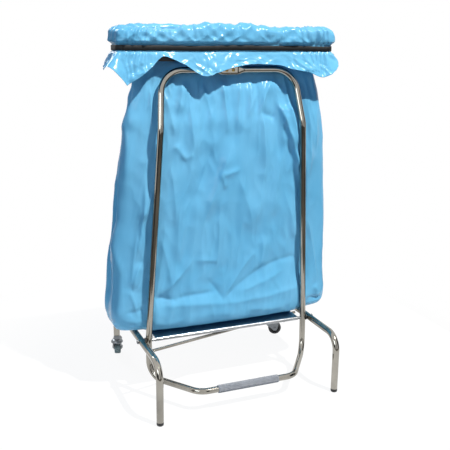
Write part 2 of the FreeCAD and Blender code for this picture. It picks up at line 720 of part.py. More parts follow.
def jaw(label, turn):
    """Moulded half ring, hollow from below and ribbed, with a lug down to the hoop's flat."""
    body = newBody(label, moved(0, mm("mouthY"), mm("jawFoot"), turn))
    half, reach, gap = "Sizes.jawLength / 2", "Sizes.jawReach", "Sizes.jawPart / 2"
    wall = "Sizes.jawWall"
    inner = "(" + half + " - Sizes.jawReturn)"
    barIn = "(Sizes.jawReach - Sizes.jawBar)"
    plan = newSketch(body, "XY_Plane", label + "Plan")
    polygon(
        plan,
        [
            ("-" + half, "-" + gap),
            ("-" + half, "-" + reach),
            (half, "-" + reach),
            (half, "-" + gap),
            (inner, "-" + gap),
            (inner, "-" + barIn),
            ("-" + inner, "-" + barIn),
            ("-" + inner, "-" + gap),
        ],
    )
    pad(body, plan, "Sizes.jawHeight", name=label + "Pad")
    doc.recompute()
    hollow = newSketch(body, "XY_Plane", label + "Hollow")
    left, right = "-(" + half + " - " + wall + ")", "(" + half + " - " + wall + ")"
    near = "-(" + gap + " + " + wall + ")"
    far = "-(" + reach + " - " + wall + ")"
    innerWall = "(" + inner + " + " + wall + ")"
    barWall = "-(" + barIn + " + " + wall + ")"
    polygon(
        hollow,
        [
            (left, near), (left, far), (right, far), (right, near),
            (innerWall, near), (innerWall, barWall), ("-" + innerWall, barWall), ("-" + innerWall, near),
        ],
    )
    pocket(body, hollow, "Sizes.jawHeight - Sizes.jawWall", reverse=True, name=label + "Cavity")
    doc.recompute()
    roundCorners(body, wall, label + "CavityCorner")
    roundCorners(body, "0", label + "Corner")
    rib = newSketch(body, "YZ_Plane", label + "Rib")
    pitch = "(Sizes.jawLength - 2 * Sizes.jawReturn) / (Sizes.jawRibs + 1)"
    rib.setExpression("AttachmentOffset.Base.z", "-" + inner + " + " + pitch)
    polygon(
        rib,
        [
            (far + " - 1", "Sizes.jawHeight * 0.2"),
            (barWall + " + 1", "Sizes.jawHeight * 0.2"),
            (barWall + " + 1", "Sizes.jawHeight - 1"),
            (far + " - 1", "Sizes.jawHeight - 1"),
        ],
    )
    web = pad(body, rib, "Sizes.jawWall * 0.6", midplane=True, name=label + "Web")
    doc.recompute()
    webs = body.newObject("PartDesign::LinearPattern", label + "Webs")
    webs.Originals = [web]
    webs.Direction = (originPart(body, "X_Axis"), [""])
    webs.setExpression("Length", "(Sizes.jawRibs - 1) * " + pitch)
    webs.setExpression("Occurrences", "Sizes.jawRibs")
    body.Tip = webs
    doc.recompute()
    lug = newSketch(body, "XZ_Plane", label + "Lug")
    seat = reach + " - Sizes.jawBar / 2 - Sizes.flatThick / 2 - Sizes.fitGap - Sizes.lugThick"
    lug.setExpression("AttachmentOffset.Base.z", seat)
    corner = "6"
    polygon(
        lug,
        [
            ("-Sizes.lugHalf", "Sizes.jawHeight - 1"),
            ("-Sizes.lugHalf", "-Sizes.lugDrop + " + corner),
            ("-Sizes.lugHalf + " + corner, "-Sizes.lugDrop"),
            ("Sizes.lugHalf - " + corner, "-Sizes.lugDrop"),
            ("Sizes.lugHalf", "-Sizes.lugDrop + " + corner),
            ("Sizes.lugHalf", "Sizes.jawHeight - 1"),
        ],
    )
    pad(body, lug, "Sizes.lugThick", name=label + "LugPad")
    doc.recompute()
    holes = newSketch(body, "XZ_Plane", label + "Holes")
    for side in ("", "-"):
        circle(
            holes, side + "Sizes.rivetPitch / 2", "Sizes.topHeight - Sizes.jawFoot",
            "Sizes.rivetDia / 2 + Sizes.axleGap",
        )
    pocket(body, holes, midplane=True, name=label + "RivetHoles")
    doc.recompute()
    top = mm("jawHeight")

    def onTop(centre, edge):
        return abs(centre.z - top) < 1e-3 and edge.BoundBox.ZLength < 1e-4

    fillet(body, onTop, "Sizes.jawBrow", label + "Brow")
    return body


def jawRivets(label, turn):
    """Domed rivets through the hoop's flat and the jaw's lug."""
    outer = mm("jawReach") - mm("jawBar") / 2 + mm("flatThick") / 2
    place = FreeCAD.Placement(
        FreeCAD.Vector(0, mm("mouthY"), mm("topHeight")), FreeCAD.Rotation(FreeCAD.Vector(0, 0, 1), turn)
    ).multiply(
        FreeCAD.Placement(
            FreeCAD.Vector(mm("rivetPitch") / 2, -outer, 0), FreeCAD.Rotation(FreeCAD.Vector(1, 0, 0), 90)
        )
    )
    body = newBody(label + "One", place)
    outline = newSketch(body, "XZ_Plane", label + "Outline")
    shank, head = "Sizes.rivetDia / 2", "Sizes.rivetHead / 2"
    length = "(Sizes.flatThick + Sizes.lugThick + Sizes.fitGap)"
    polygon(
        outline,
        [
            ("0", "-" + length + " - 1.2"),
            (head + " - 1.8", "-" + length + " - 1.2"),
            (head + " - 1", "-" + length),
            (shank, "-" + length),
            (shank, "0"),
            (head, "0"),
            (head + " - 0.8", "Sizes.rivetProud * 0.6"),
            (head + " - 2.4", "Sizes.rivetProud"),
            ("0", "Sizes.rivetProud"),
        ],
    )
    revolve(body, outline, label + "Turned")
    return mirroredPair(label, body)


def mouthBand():
    """Flat rubber band round both jaws and the film on them."""
    off = "Sizes.filmThick + 2 * Sizes.filmGap"
    half = "(Sizes.jawLength / 2 + " + off + ")"
    deep = "(Sizes.jawReach + " + off + ")"
    low = mm("jawFoot") + mm("jawHeight") / 2 - mm("bandWidth") / 2
    body = newBody("mouth_band", moved(0, mm("mouthY"), low))
    for name, grow in (("BandOuter", "Sizes.bandThick"), ("BandInner", "0")):
        sketch = newSketch(body, "XY_Plane", name)
        x, y = "(" + half + " + " + grow + ")", "(" + deep + " + " + grow + ")"
        polygon(sketch, [("-" + x, "-" + y), (x, "-" + y), (x, y), ("-" + x, y)])
        if name == "BandOuter":
            pad(body, sketch, "Sizes.bandWidth", name="BandPad")
        else:
            pocket(body, sketch, "Sizes.bandWidth", reverse=True, name="BandCut")
        doc.recompute()
    for name, grow, expression in (
        ("BandInnerCorner", 0, "Sizes.jawCorner + " + off),
        ("BandOuterCorner", mm("bandThick"), "Sizes.jawCorner + Sizes.bandThick + " + off),
    ):
        reachX = number(half) + grow

        def atEnds(centre, edge):
            return isUpright(edge) and abs(abs(centre.x) - reachX) < 1e-3

        fillet(body, atEnds, expression, name)
    return body


WHEEL_AXIS = ("-Sizes.casterTrail", "Sizes.wheelDia / 2")
BRAKE_PIN = ("-Sizes.casterTrail - 7.5", "Sizes.crownTop - 3.5")
FORK_GAP = "(Sizes.wheelWidth + 2 * Sizes.forkGap)"


def casterPlace(side):
    """Swivel axis of a caster, under the rear leg, turned to where the wheel trails."""
    turn = mm("leftSwivel") if side < 0 else mm("rightSwivel")
    return moved(side * mm("frameWidth") / 2, mm("frameDepth"), 0, turn)


def acrossCaster(side, axis):
    """Placement on a cross axis of the caster, local Z along the axis."""
    y, z = number(axis[0]), number(axis[1])
    local = FreeCAD.Placement(FreeCAD.Vector(0, y, z), FreeCAD.Rotation(FreeCAD.Vector(0, 1, 0), 90))
    return casterPlace(side).multiply(local)


def casterStem(label, side):
    """Fixed stem: peened head under the crown, ball race, collar and insert up the rear leg."""
    body = newBody(label, moved(side * mm("frameWidth") / 2, mm("frameDepth"), 0))
    outline = newSketch(body, "XZ_Plane", label + "Outline")
    shank = "Sizes.stemDia / 2"
    headTop = "(Sizes.crownTop - Sizes.forkSheet - Sizes.runGap)"
    raceFoot = "(Sizes.crownTop + Sizes.runGap)"
    domeTop = "(Sizes.crownTop + Sizes.domeHeight)"
    collarTop = "(Sizes.rearLegFoot - Sizes.fitGap)"
    polygon(
        outline,
        [
            ("0", headTop + " - 2.5"),
            ("Sizes.raceDia / 2 - 2", headTop + " - 2.5"),
            ("Sizes.raceDia / 2", headTop + " - 1"),
            ("Sizes.raceDia / 2", headTop),
            (shank, headTop),
            (shank, raceFoot),
            ("Sizes.raceDia / 2", raceFoot),
            ("Sizes.raceDia / 2", raceFoot + " + 4.2"),
            (shank, raceFoot + " + 4.2"),
            (shank, domeTop + " + Sizes.runGap"),
            (TUBE_RADIUS, domeTop + " + Sizes.runGap"),
            (TUBE_RADIUS, collarTop),
            (TUBE_BORE + " - Sizes.fitGap", collarTop),
            (TUBE_BORE + " - Sizes.fitGap", "Sizes.rearLegFoot + 24"),
            (shank, "Sizes.rearLegFoot + 26"),
            ("0", "Sizes.rearLegFoot + 26"),
        ],
    )
    revolve(body, outline, label + "Turned")
    return body


def casterFork(label, side):
    """Pressed fork with a domed ball housing on its crown."""
    body = newBody(label, casterPlace(side))
    trail, axle = WHEEL_AXIS
    crown = "Sizes.crownTop"
    cheek = newSketch(body, "YZ_Plane", label + "Cheek")
    polygon(
        cheek,
        [
            (trail + " - 12", crown),
            (trail + " - 12", crown + " - 6"),
            (trail + " - 8", axle),
            (trail + " - 4.5", axle + " - 7"),
            (trail + " + 4.5", axle + " - 7"),
            (trail + " + 9", axle + " - 2"),
            ("Sizes.headDia / 2 - 4", crown + " - 5"),
            ("Sizes.headDia / 2 - 4", crown),
        ],
    )
    pad(body, cheek, FORK_GAP + " + 2 * Sizes.forkSheet", midplane=True, name=label + "Cheeks")
    doc.recompute()
    gap = newSketch(body, "YZ_Plane", label + "Gap")
    under = crown + " - Sizes.forkSheet"
    rear = trail + " - 2"
    front, back, low, high = "Sizes.wheelDia", "-2 * Sizes.wheelDia", "-1", crown + " + 1"
    polygon(gap, [(back, low), (front, low), (front, under), (rear, under), (rear, high), (back, high)])
    slot = pocket(body, gap, midplane=True, name=label + "Slot")
    slot.Type = "Length"
    slot.setExpression("Length", FORK_GAP)
    doc.recompute()
    dome = newSketch(body, "XZ_Plane", label + "Dome")
    wide, tall = "Sizes.headDia / 2", "Sizes.domeHeight"
    bore = "Sizes.stemDia / 2 + Sizes.axleGap"
    chamber = "Sizes.raceDia / 2 + Sizes.ballDia + 0.8"
    roof = crown + " + Sizes.ballDia + 1.2"
    polygon(
        dome,
        [
            (bore, under),
            ("Sizes.wheelWidth / 2", under),
            ("Sizes.wheelWidth / 2", crown),
            (wide, crown),
            (wide, crown + " + 0.3 * " + tall),
            (wide + " - 1.4", crown + " + 0.55 * " + tall),
            (wide + " - 4.2", crown + " + 0.8 * " + tall),
            (wide + " - 8", crown + " + 0.96 * " + tall),
            (wide + " - 10", crown + " + " + tall),
            (bore, crown + " + " + tall),
            (bore, roof),
            (chamber, roof),
            (chamber, crown),
            (bore, crown),
        ],
    )
    revolve(body, dome, label + "Housing")
    doc.recompute()
    stemHole = newSketch(body, "XY_Plane", label + "Bore")
    stemHole.setExpression("AttachmentOffset.Base.z", crown)
    circle(stemHole, "0", "0", bore)
    pocket(body, stemHole, "2 * Sizes.forkSheet", name=label + "StemHole")
    doc.recompute()
    holes = newSketch(body, "YZ_Plane", label + "Holes")
    circle(holes, trail, axle, "Sizes.boltDia / 2 + Sizes.axleGap")
    circle(holes, *BRAKE_PIN, "Sizes.pinDia / 2 + Sizes.axleGap")
    pocket(body, holes, midplane=True, name=label + "PinHoles")
    return body


def casterAxle(label, side):
    """Bolt through the cheeks and the hub, head on one side and nut on the other."""
    body = newBody(label, acrossCaster(side, WHEEL_AXIS))
    outline = newSketch(body, "XZ_Plane", label + "Outline")
    shank, head = "Sizes.boltDia / 2", "Sizes.boltHead / 2"
    reach = "(" + FORK_GAP + " / 2 + Sizes.forkSheet + Sizes.fitGap)"
    polygon(
        outline,
        [
            ("0", "-" + reach + " - 2.4"),
            (head + " - 1", "-" + reach + " - 2.4"),
            (head, "-" + reach + " - 1.4"),
            (head, "-" + reach),
            (shank, "-" + reach),
            (shank, reach),
            (head, reach),
            (head, reach + " + 2"),
            (head + " - 1", reach + " + 3"),
            ("0", reach + " + 3"),
        ],
    )
    revolve(body, outline, label + "Turned")
    return body


def casterBalls(label, side):
    """Balls between the stem's race and the housing."""
    ring = mm("raceDia") / 2 + mm("ballDia") / 2 + 0.4
    height = mm("crownTop") + mm("runGap") + mm("ballDia") / 2 + 0.4
    balls = []
    for index in range(12):
        turn = math.radians(30 * index)
        centre = FreeCAD.Vector(ring * math.cos(turn), ring * math.sin(turn), height)
        balls.append(Part.makeSphere(mm("ballDia") / 2, centre))
    return setShape(label, Part.makeCompound(balls), casterPlace(side))


def brakePin(label, side):
    body = newBody(label, acrossCaster(side, BRAKE_PIN))
    outline = newSketch(body, "XZ_Plane", label + "Outline")
    shank = "Sizes.pinDia / 2"
    reach = "(" + FORK_GAP + " / 2 + Sizes.forkSheet + Sizes.fitGap)"
    polygon(
        outline,
        [
            ("0", "-" + reach + " - 0.8"),
            (shank + " + 0.8", "-" + reach + " - 0.8"),
            (shank + " + 0.8", "-" + reach),
            (shank, "-" + reach),
            (shank, reach),
            (shank + " + 0.8", reach),
            (shank + " + 0.8", reach + " + 0.8"),
            ("0", reach + " + 0.8"),
        ],
    )
    revolve(body, outline, label + "Turned")
    return body


def brakeLever(label, side):
    """Cam on the brake pin with a foot tab; pressed down, the cam's nose closes on the tread."""
    pinPlace = FreeCAD.Placement()
    pinPlace.Base = FreeCAD.Vector(0, number(BRAKE_PIN[0]), number(BRAKE_PIN[1]))
    body = newBody(label, casterPlace(side).multiply(pinPlace))
    cam = newSketch(body, "YZ_Plane", label + "Cam")
    circle(cam, "0", "0", "Sizes.pinDia / 2 + Sizes.axleGap")
    nose = "Sizes.camNose"
    polygon(
        cam,
        [
            ("2.2", "2.2"),
            ("-2.2", "2.2"),
            ("-3", "0.6"),
            ("-3", "-" + nose + " * 0.6"),
            ("-1.6", "-" + nose + " * 0.9"),
            ("0.6", "-" + nose + " * 0.95"),
            ("3", "-1"),
        ],
    )
    pad(body, cam, FORK_GAP + " - 2 * Sizes.runGap", midplane=True, name=label + "CamPad")
    doc.recompute()
    tab = newSketch(body, "YZ_Plane", label + "Tab")
    end = "-Sizes.tabLength"
    polygon(
        tab,
        [
            ("-2", "2.2"),
            ("-2", "-0.3"),
            (end, "-4"),
            (end + " - 1.2", "-2.4"),
            (end + " + 0.6", "-1.4"),
        ],
    )
    pad(body, tab, "Sizes.wheelWidth", midplane=True, name=label + "TabPad")
    return body


def casterHub(label, side):
    """Moulded wheel centre with a dished web."""
    body = newBody(label, acrossCaster(side, WHEEL_AXIS))
    outline = newSketch(body, "XZ_Plane", label + "Outline")
    bore = "Sizes.boltDia / 2 + Sizes.axleGap"
    rim = "(Sizes.wheelDia / 2 - Sizes.treadDeep - Sizes.fitGap)"
    half = "Sizes.wheelWidth / 2"
    polygon(
        outline,
        [
            (bore, "-" + half),
            (bore + " + 3", "-" + half),
            (bore + " + 3.6", "-3"),
            (rim + " - 2.6", "-3"),
            (rim + " - 2", "-" + half + " + 0.6"),
            (rim, "-" + half + " + 0.6"),
            (rim, half + " - 0.6"),
            (rim + " - 2", half + " - 0.6"),
            (rim + " - 2.6", "3"),
            (bore + " + 3.6", "3"),
            (bore + " + 3", half),
            (bore, half),
        ],
    )
    revolve(body, outline, label + "Turned")
    return body


def casterTyre(label, side):
    """Rubber tread with rounded shoulders."""
    body = newBody(label, acrossCaster(side, WHEEL_AXIS))
    outline = newSketch(body, "XZ_Plane", label + "Outline")
    seat = "(Sizes.wheelDia / 2 - Sizes.treadDeep)"
    tread, half = "Sizes.wheelDia / 2", "Sizes.wheelWidth / 2"
    polygon(
        outline,
        [
            (seat, "-" + half + " + 0.3"),
            (tread + " - 2.4", "-" + half + " + 0.3"),
            (tread + " - 0.7", "-" + half + " + 1.6"),
            (tread, "-" + half + " + 4"),
            (tread, half + " - 4"),
            (tread + " - 0.7", half + " - 1.6"),
            (tread + " - 2.4", half + " - 0.3"),
            (seat, half + " - 0.3"),
        ],
    )
    revolve(body, outline, label + "Turned")
    return body


# Film rings up the bag's outside: half width as a share of the widest half, reach to the front as a
# share of the way from the mouth to the loop's knee, reach to the rear and corner radius as shares
# of the way back to the cross tube, pinch of the two ends, and depth of the folds in that last share.
# The foot rings lie on the tray and just over the rails. The body rings start with their height, a
# share of the rise from the bag's floor to the jaws.
FOOT_RINGS = [
    (0.675, -0.099, 0.713, 0.172, 0.20, 0.000),
    (0.755, -0.034, 0.736, 0.172, 0.25, 0.000),
    (0.950, 0.065, 0.770, 0.206, 0.32, 0.000),
]
BODY_RINGS = [
    (0.028, 0.973, 0.268, 0.816, 0.241, 0.34, 0.008),
    (0.061, 0.983, 0.433, 0.833, 0.265, 0.36, 0.018),
    (0.126, 0.997, 0.568, 0.816, 0.277, 0.40, 0.023),
    (0.213, 1.000, 0.633, 0.770, 0.265, 0.44, 0.026),
    (0.299, 0.983, 0.667, 0.701, 0.253, 0.48, 0.028),
    (0.393, 0.960, 0.718, 0.615, 0.230, 0.52, 0.028),
    (0.487, 0.957, 0.752, 0.529, 0.218, 0.56, 0.028),
    (0.588, 0.936, 0.768, 0.443, 0.206, 0.58, 0.032),
    (0.688, 0.923, 0.752, 0.356, 0.189, 0.59, 0.032),
    (0.775, 0.893, 0.684, 0.265, 0.172, 0.57, 0.028),
    (0.840, 0.873, 0.568, 0.201, 0.155, 0.50, 0.023),
    (0.898, 0.849, 0.418, 0.133, 0.128, 0.40, 0.018),
]
# Height from the jaws' foot, and spread past the throat, of the rings that lead up into it.
NECK_RINGS = ((-44, 8), (-18, 0), (0, 0))
# Drop of the hem from the jaws' foot, and rise of the film's fold above the jaws' top, at places
# round the ring: front 0 to 24, right end 24 to 34, rear 34 to 58, left end 58 to 68.
HEM = [
    (0, -41), (1, -53), (5, 8), (9, -34), (14, -9), (17, -11), (22, -40), (27, 0), (33, -34),
    (42, -6), (50, -31), (58, -10), (62, -34), (66, -11), (68, -41),
]
CREST = [
    (0, 6), (5, 6), (8, 17), (13, 20), (15.5, 18), (17, 12), (19, 15), (34, 14), (58, 11), (68, 6),
]
# Share of the skirt's fall, and how far it stands out from the band there.
SKIRT = ((0.3, 3.0), (0.65, 9.0), (1.0, 16.0))
SIDE_STEPS, CORNER_STEPS, END_STEPS = 24, 4, 2
RING_STEPS = 2 * (SIDE_STEPS + 2 * CORNER_STEPS + END_STEPS)


def eased(table, place):
    """Value of a table of places and heights, eased from one entry to the next."""
    for (start, low), (end, high) in zip(table, table[1:]):
        if start <= place <= end:
            share = (1 - math.cos(math.pi * (place - start) / (end - start))) / 2
            return low + (high - low) * share
    return table[-1][1]


def ringPoints(half, front, rear, corner, pinch):
    """Rounded rectangle in plan, drawn in towards its two ends by the pinch."""
    corner = min(corner, (rear - front) / 2 - 0.5)
    middle = (front + rear) / 2
    points = []

    def side(x1, y1, x2, y2, steps):
        points.extend((x1 + (x2 - x1) * k / steps, y1 + (y2 - y1) * k / steps) for k in range(steps))

    def bow(x, y, start):
        for k in range(CORNER_STEPS):
            angle = math.radians(start + 90 * k / CORNER_STEPS)
            points.append((x + corner * math.cos(angle), y + corner * math.sin(angle)))

    inner = half - corner
    side(-inner, front, inner, front, SIDE_STEPS)
    bow(inner, front + corner, -90)
    side(half, front + corner, half, rear - corner, END_STEPS)
    bow(inner, rear - corner, 0)
    side(inner, rear, -inner, rear, SIDE_STEPS)
    bow(-inner, rear - corner, 90)
    side(-half, rear - corner, -half, front + corner, END_STEPS)
    bow(-inner, front + corner, 180)
    return [(x, middle + (y - middle) * (1 - pinch * (x / half) ** 2)) for x, y in points]


def folded(points, depth, phase, count):
    """The same ring with folds that run up the film, outward along each point's direction."""
    out = []
    total = len(points)
    for k, (x, y) in enumerate(points):
        ahead, behind = points[(k + 1) % total], points[k - 1]
        dx, dy = ahead[0] - behind[0], ahead[1] - behind[1]
        size = math.hypot(dx, dy)
        turn = 2 * math.pi * k / total
        wave = math.sin(count * turn + phase) * (0.65 + 0.35 * math.sin(3 * turn + 2 * phase))
        wave += 0.4 * math.sin((count + 4) * turn - 1.7 * phase)
        out.append((x + depth * wave * dy / size, y - depth * wave * dx / size))
    return out


def filmSolid(outside, inside):
    """Closed solid of flat facets between two sets of rings, joined at the hem, closed at the foot."""
    count = len(outside[0])
    points = [FreeCAD.Vector(*point) for ring in outside + inside for point in ring]
    turned = len(outside) * count
    facets = []

    def strip(lower, upper, flip):
        for k in range(count):
            a, b = lower + k, lower + (k + 1) % count
            c, d = upper + (k + 1) % count, upper + k
            facets.extend([(a, c, b), (a, d, c)] if flip else [(a, b, c), (a, c, d)])

    for row in range(len(outside) - 1):
        strip(row * count, (row + 1) * count, False)
        strip(turned + row * count, turned + (row + 1) * count, True)
    strip(turned - count, len(points) - count, False)
    for start, ring, flip in ((0, outside[0], True), (turned, inside[0], False)):
        centre = len(points)
        x = sum(point[0] for point in ring) / count
        y = sum(point[1] for point in ring) / count
        points.append(FreeCAD.Vector(x, y, ring[0][2]))
        for k in range(count):
            a, b = start + k, start + (k + 1) % count
            facets.append((centre, b, a) if flip else (centre, a, b))
    shape = Part.Shape()
    shape.makeShapeFromMesh((points, facets), 0.001)
    return Part.makeSolid(shape)


def offsetRing(rings, index, film):
    """One ring moved by the film's thickness to its other side, square to the surface."""
    ring = rings[index]
    before = rings[index - 1]
    after = rings[min(index + 1, len(rings) - 1)]
    total = len(ring)
    inner = []
    for k, point in enumerate(ring):
        around = FreeCAD.Vector(*ring[(k + 1) % total]) - FreeCAD.Vector(*ring[k - 1])
        along = FreeCAD.Vector(*after[k]) - FreeCAD.Vector(*before[k])
        normal = along.cross(around).normalize()
        inner.append(tuple(FreeCAD.Vector(*point) + normal * film))
    return inner


def bag():
    """Film bag: closed bottom, body, neck between the jaws, crest over them, cuff and loose skirt."""
    film, gap = mm("filmThick"), mm("filmGap")
    floor = number(PLATE_UNDER) + mm("traySheet") + mm("filmLift")
    rail = mm("railHeight") + mm("tubeDia") / 2
    mouth, foot, wide = mm("mouthY"), mm("jawFoot"), mm("bagHalf")
    near, deep = mouth - mm("kneeY"), mm("crossTubeY") - mouth
    inX = mm("jawLength") / 2 - mm("jawReturn") - gap
    inY = mm("jawReach") - mm("jawBar") - gap
    outX = mm("jawLength") / 2 + gap
    outY = mm("jawReach") + gap
    neck = mm("jawCorner")
    bandFoot = foot + mm("jawHeight") / 2 - mm("bandWidth") / 2
    levels = [floor, rail + 4 * mm("filmLift"), rail + 9 * mm("filmLift")]
    levels += [floor + (foot - floor) * ring[0] for ring in BODY_RINGS]
    shares = FOOT_RINGS + [ring[1:] for ring in BODY_RINGS]
    rings = []
    for index, z in enumerate(levels):
        half, front, rear, corner, pinch, depth = shares[index]
        plan = ringPoints(half * wide, mouth - front * near, mouth + rear * deep, corner * deep, pinch)
        plan = folded(plan, depth * deep, 0.64 + 0.22 * index, 11)
        rings.append([(x, y, z) for x, y in plan])
    top = foot + mm("jawHeight")
    throat = [(foot + rise, spread) for rise, spread in NECK_RINGS]
    throat += [(foot + mm("jawHeight") / 2, 0), (top, 0)]
    for z, spread in throat:
        plan = ringPoints(inX + spread, mouth - inY, mouth + inY, neck, 0)
        rings.append([(x, y, z) for x, y in plan])
    crest = [eased(CREST, k) for k in range(RING_STEPS)]
    for share, lift in ((0.22, 0.75), (0.6, 1.0), (0.93, 0.7)):
        halfX = inX + (outX - inX) * share
        halfY = inY + (outY - inY) * share
        plan = ringPoints(halfX, mouth - halfY, mouth + halfY, neck, 0)
        rings.append([(x, y, top + gap + (rise - gap) * lift) for (x, y), rise in zip(plan, crest)])
    cuff = ringPoints(outX, mouth - outY, mouth + outY, neck + gap, 0)
    for z in (top, bandFoot + mm("bandWidth") + 4, bandFoot - 2):
        rings.append([(x, y, z) for x, y in cuff])
    hem = [eased(HEM, k) for k in range(RING_STEPS)]
    start = bandFoot - 2
    for share, flare in SKIRT:
        plan = ringPoints(outX + flare, mouth - outY - flare, mouth + outY + flare, neck + flare, 0)
        plan = folded(plan, 4.5 * share, 2.1, 15)
        rings.append([(x, y, start + (foot + end - start) * share) for (x, y), end in zip(plan, hem)])
    bottom = rings[0]
    middle = sum(point[1] for point in bottom) / len(bottom)
    shrink = 1 - 3 * film / deep
    inside = [[(x * shrink, middle + (y - middle) * shrink, z + film) for x, y, z in bottom]]
    for index in range(1, len(rings)):
        inside.append(offsetRing(rings, index, film))
    return setShape("bag", filmSolid(rings, inside))


parts = {
    "left_side_frame": sideFrame("left_side_frame", -1),
    "right_side_frame": sideFrame("right_side_frame", 1),
    "rear_cross_tube": crossTube(),
    "brace_rod": brace(),
    "left_foot_cap": footCap("left_foot_cap", -1),
    "right_foot_cap": footCap("right_foot_cap", 1),
    "pivot_axle": pivotAxle(),
    "axle_nuts": axleNuts(),
    "pivot_washers": pivotWashers(),
    "tray": tray(),
    "tray_screws": trayScrews(),
    "rear_hoop": rearHoop(),
    "rear_jaw": jaw("rear_jaw", 180),
    "rear_rivets": jawRivets("rear_rivets", 180),
    "pedal_loop": pedalLoop(),
    "pedal_sleeve": pedalSleeve(),
    "front_jaw": jaw("front_jaw", 0),
    "front_rivets": jawRivets("front_rivets", 0),
    "mouth_band": mouthBand(),
    "bag": bag(),
}
for sideName, side in (("left", -1), ("right", 1)):
    parts[sideName + "_caster_stem"] = casterStem(sideName + "_caster_stem", side)
    parts[sideName + "_caster_fork"] = casterFork(sideName + "_caster_fork", side)
    parts[sideName + "_caster_axle"] = casterAxle(sideName + "_caster_axle", side)
    parts[sideName + "_caster_balls"] = casterBalls(sideName + "_caster_balls", side)
    parts[sideName + "_brake_pin"] = brakePin(sideName + "_brake_pin", side)
    parts[sideName + "_brake_lever"] = brakeLever(sideName + "_brake_lever", side)
    parts[sideName + "_caster_hub"] = casterHub(sideName + "_caster_hub", side)
    parts[sideName + "_caster_tyre"] = casterTyre(sideName + "_caster_tyre", side)

# The origin moves from between the front feet to under the stand's middle.
toMiddle = moved(0, -mm("standMiddle"), 0)
for item in parts.values():
    item.Placement = toMiddle.multiply(item.Placement)
doc.recompute()

# Export: nothing is written unless every object recomputes and every shape is valid.
for item in doc.Objects:
    if "Invalid" in item.State or "Error" in item.State:
        raise RuntimeError("%s did not recompute: %s" % (item.Label, item.State))
os.makedirs("parts", exist_ok=True)
for name, item in parts.items():
    shape = item.Shape
    if shape.isNull() or not shape.isValid() or shape.Volume <= 0:
        raise RuntimeError(name + " has no valid solid")
    shape.exportStep(os.path.join("parts", name + ".step"))
    box = shape.BoundBox
    print(
        "%-20s solids %2d volume %9.0f  x %7.1f %7.1f  y %7.1f %7.1f  z %7.1f %7.1f"
        % (name, len(shape.Solids), shape.Volume, box.XMin, box.XMax, box.YMin, box.YMax, box.ZMin, box.ZMax)
    )
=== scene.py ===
import bmesh
import bpy
import json
import math
import numpy as np
from mathutils import Matrix


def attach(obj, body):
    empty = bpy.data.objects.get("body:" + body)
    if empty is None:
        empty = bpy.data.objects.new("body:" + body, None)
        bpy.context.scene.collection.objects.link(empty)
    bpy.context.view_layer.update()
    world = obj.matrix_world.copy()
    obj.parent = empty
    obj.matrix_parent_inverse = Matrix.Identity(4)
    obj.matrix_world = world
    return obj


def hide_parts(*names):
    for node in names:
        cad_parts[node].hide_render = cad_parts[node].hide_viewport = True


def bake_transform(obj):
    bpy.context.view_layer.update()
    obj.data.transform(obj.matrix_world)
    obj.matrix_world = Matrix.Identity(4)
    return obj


# Pedal bin bag holder: chromed tube stand, film bag, rubber band. Millimetres are measured from the
# floor between the front feet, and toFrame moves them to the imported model's origin, in metres.

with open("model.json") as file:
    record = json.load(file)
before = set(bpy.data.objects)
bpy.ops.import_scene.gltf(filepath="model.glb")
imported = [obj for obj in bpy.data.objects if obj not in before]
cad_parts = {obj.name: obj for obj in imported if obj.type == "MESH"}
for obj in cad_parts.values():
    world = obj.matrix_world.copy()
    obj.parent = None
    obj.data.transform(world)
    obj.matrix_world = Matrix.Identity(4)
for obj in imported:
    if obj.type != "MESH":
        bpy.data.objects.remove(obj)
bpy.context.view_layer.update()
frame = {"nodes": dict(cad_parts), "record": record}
nodes = frame["nodes"]
standMiddle = 233.0


def toFrame(points):
    # Millimetres from between the front feet, to metres from under the stand's middle.
    points = np.asarray(points, float)
    return (points - np.array([0.0, standMiddle, 0.0])) / 1000.0


def linear(hexColour, alpha=1.0):
    # sRGB hex to the linear values that shaders take.
    raw = [int(hexColour[i:i + 2], 16) / 255.0 for i in (1, 3, 5)]
    return [c / 12.92 if c <= 0.04045 else ((c + 0.055) / 1.055) ** 2.4 for c in raw] + [alpha]


def addNode(tree, kind, settings=None, values=None, links=None):
    # A node with its settings, socket values and incoming links.
    node = tree.nodes.new(kind)
    for key, value in (settings or {}).items():
        setattr(node, key, value)
    for key, value in (values or {}).items():
        node.inputs[key].default_value = value
    for key, source in (links or {}).items():
        tree.links.new(source, node.inputs[key])
    return node


def newMaterial(name, values):
    # Principled material with its constants on its own sockets; returns material, tree, shader.
    material = bpy.data.materials.new(name)
    material.use_nodes = True
    tree = material.node_tree
    shader = tree.nodes["Principled BSDF"]
    for key, value in values.items():
        shader.inputs[key].default_value = value
    return material, tree, shader


def objectNoise(tree, scale, detail=2.0, rough=0.5, stretch=(1.0, 1.0, 1.0), kind="FBM"):
    # Noise on Object coordinates, scale in features per metre, stretched per axis.
    place = addNode(tree, "ShaderNodeTexCoord")
    mapping = addNode(
        tree, "ShaderNodeMapping", values={"Scale": stretch}, links={"Vector": place.outputs["Object"]},
    )
    return addNode(
        tree, "ShaderNodeTexNoise", {"noise_type": kind},
        {"Scale": scale, "Detail": detail, "Roughness": rough}, {"Vector": mapping.outputs["Vector"]},
    )


def rampBetween(tree, factor, low, high, start=0.3, end=0.7):
    # Straight run from the low to the high colour while the factor goes from start to end.
    ramp = addNode(tree, "ShaderNodeValToRGB", links={"Fac": factor})
    ramp.color_ramp.elements[0].position = start
    ramp.color_ramp.elements[0].color = low
    ramp.color_ramp.elements[1].position = end
    ramp.color_ramp.elements[1].color = high
    return ramp


